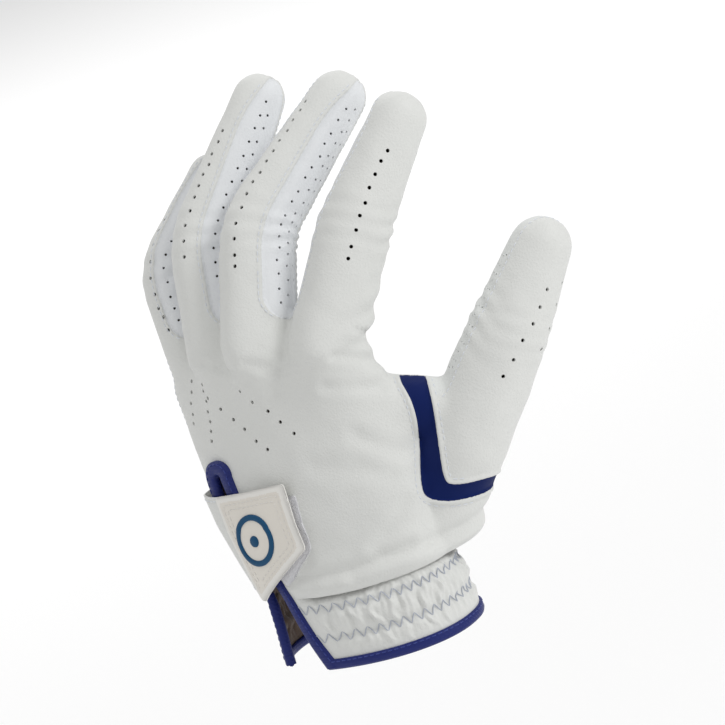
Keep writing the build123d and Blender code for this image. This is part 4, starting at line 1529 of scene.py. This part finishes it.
def set_stage():
    """The camera, the soft lights, the pale room and the floor."""
    stage, scene = settings("stage"), bpy.context.scene
    aim = Vector(stage.aim)
    forward = Vector((0, math.cos(stage.elevation), -math.sin(stage.elevation)))
    level, above = Vector((1, 0, 0)), Vector((0, math.sin(stage.elevation), math.cos(stage.elevation)))
    right = level * math.cos(stage.roll) - above * math.sin(stage.roll)
    up = level * math.sin(stage.roll) + above * math.cos(stage.roll)
    camera = bpy.data.objects.new("Camera", bpy.data.cameras.new("Camera"))
    camera.data.lens = stage.lens
    camera.data.clip_end = 20
    turn = Matrix((right, up, -forward)).transposed().to_4x4()
    camera.matrix_world = Matrix.Translation(aim - forward * stage.distance) @ turn
    scene.collection.objects.link(camera)
    scene.camera = camera
    area_light("Key", aim + Vector((1.1, -0.7, 0.9)), 0.45, 9, aim)
    area_light("Top", aim + Vector((-0.5, -0.2, 1.5)), 0.6, 3, aim)
    area_light("Floor light", Vector((-0.3, 2.6, 1.6)), 2.8, 27, (-0.3, 2.6, -1))
    world = bpy.data.worlds.new("Studio")
    world.use_nodes = True
    world.node_tree.nodes["Background"].inputs["Color"].default_value = linear("#FFFFFF")
    world.node_tree.nodes["Background"].inputs["Strength"].default_value = 0.60
    scene.world = world
    scene.view_settings.view_transform = "Standard"
    deselect()
    bpy.ops.mesh.primitive_plane_add(size=12, location=(0, 0, stage.floor))
    floor = bpy.context.object
    floor.name = "floor"
    # matt studio paper
    floor.data.materials.append(surface("Paper", "#FFFFFF", 0.9, kind="plain", shade=0.0))


# ---- operators and the panel -------------------------------------------------------------------------
class GLOVE_OT_leather(bpy.types.Operator):
    """Sew the hand, the stalls, the navy gusset and the gathered cuff"""
    bl_idname = "glove.leather"
    bl_label = "Sew the leather"

    def execute(self, context):
        sew_leather()
        return {"FINISHED"}


class GLOVE_OT_edges(bpy.types.Operator):
    """Bind the hem and the slit, and lay the wrist elastic"""
    bl_idname = "glove.edges"
    bl_label = "Bind the edges"

    def execute(self, context):
        bind_hem()
        bind_slit()
        lay_elastic()
        return {"FINISHED"}


class GLOVE_OT_tab(bpy.types.Operator):
    """Make the closure tab with its pads and its plain raised ring"""
    bl_idname = "glove.tab"
    bl_label = "Make the closure tab"

    def execute(self, context):
        make_tab()
        make_tab_layers()
        make_mark()
        return {"FINISHED"}


class GLOVE_OT_stage(bpy.types.Operator):
    """Set the camera, the lights and the floor"""
    bl_idname = "glove.stage"
    bl_label = "Set the stage"

    def execute(self, context):
        set_stage()
        return {"FINISHED"}


class GLOVE_PT_panel(bpy.types.Panel):
    """Steps and settings of the glove"""
    bl_idname = "GLOVE_PT_panel"
    bl_label = "Golf glove"
    bl_space_type = "VIEW_3D"
    bl_region_type = "UI"
    bl_category = "Glove"

    def draw(self, context):
        for operator in OPERATORS:
            self.layout.operator(operator.bl_idname)
        for name in GROUPS:
            box = self.layout.box()
            box.label(text=name.capitalize())
            group = settings(name)
            for prop in group.bl_rna.properties:
                if prop.identifier not in ("rna_type", "name"):
                    box.prop(group, prop.identifier)


OPERATORS = (GLOVE_OT_leather, GLOVE_OT_edges, GLOVE_OT_tab, GLOVE_OT_stage)


def register():
    for name, group in GROUPS.items():
        bpy.utils.register_class(group)
        setattr(bpy.types.Scene, f"glove_{name}", PointerProperty(type=group))
    for cls in OPERATORS + (GLOVE_PT_panel,):
        bpy.utils.register_class(cls)


def unregister():
    for cls in reversed(OPERATORS + (GLOVE_PT_panel,)):
        bpy.utils.unregister_class(cls)
    for name, group in GROUPS.items():
        delattr(bpy.types.Scene, f"glove_{name}")
        bpy.utils.unregister_class(group)


def main():
    register()
    bpy.ops.glove.leather()
    bpy.ops.glove.edges()
    bpy.ops.glove.tab()
    bpy.ops.glove.stage()


if __name__ == "__main__":
    main()
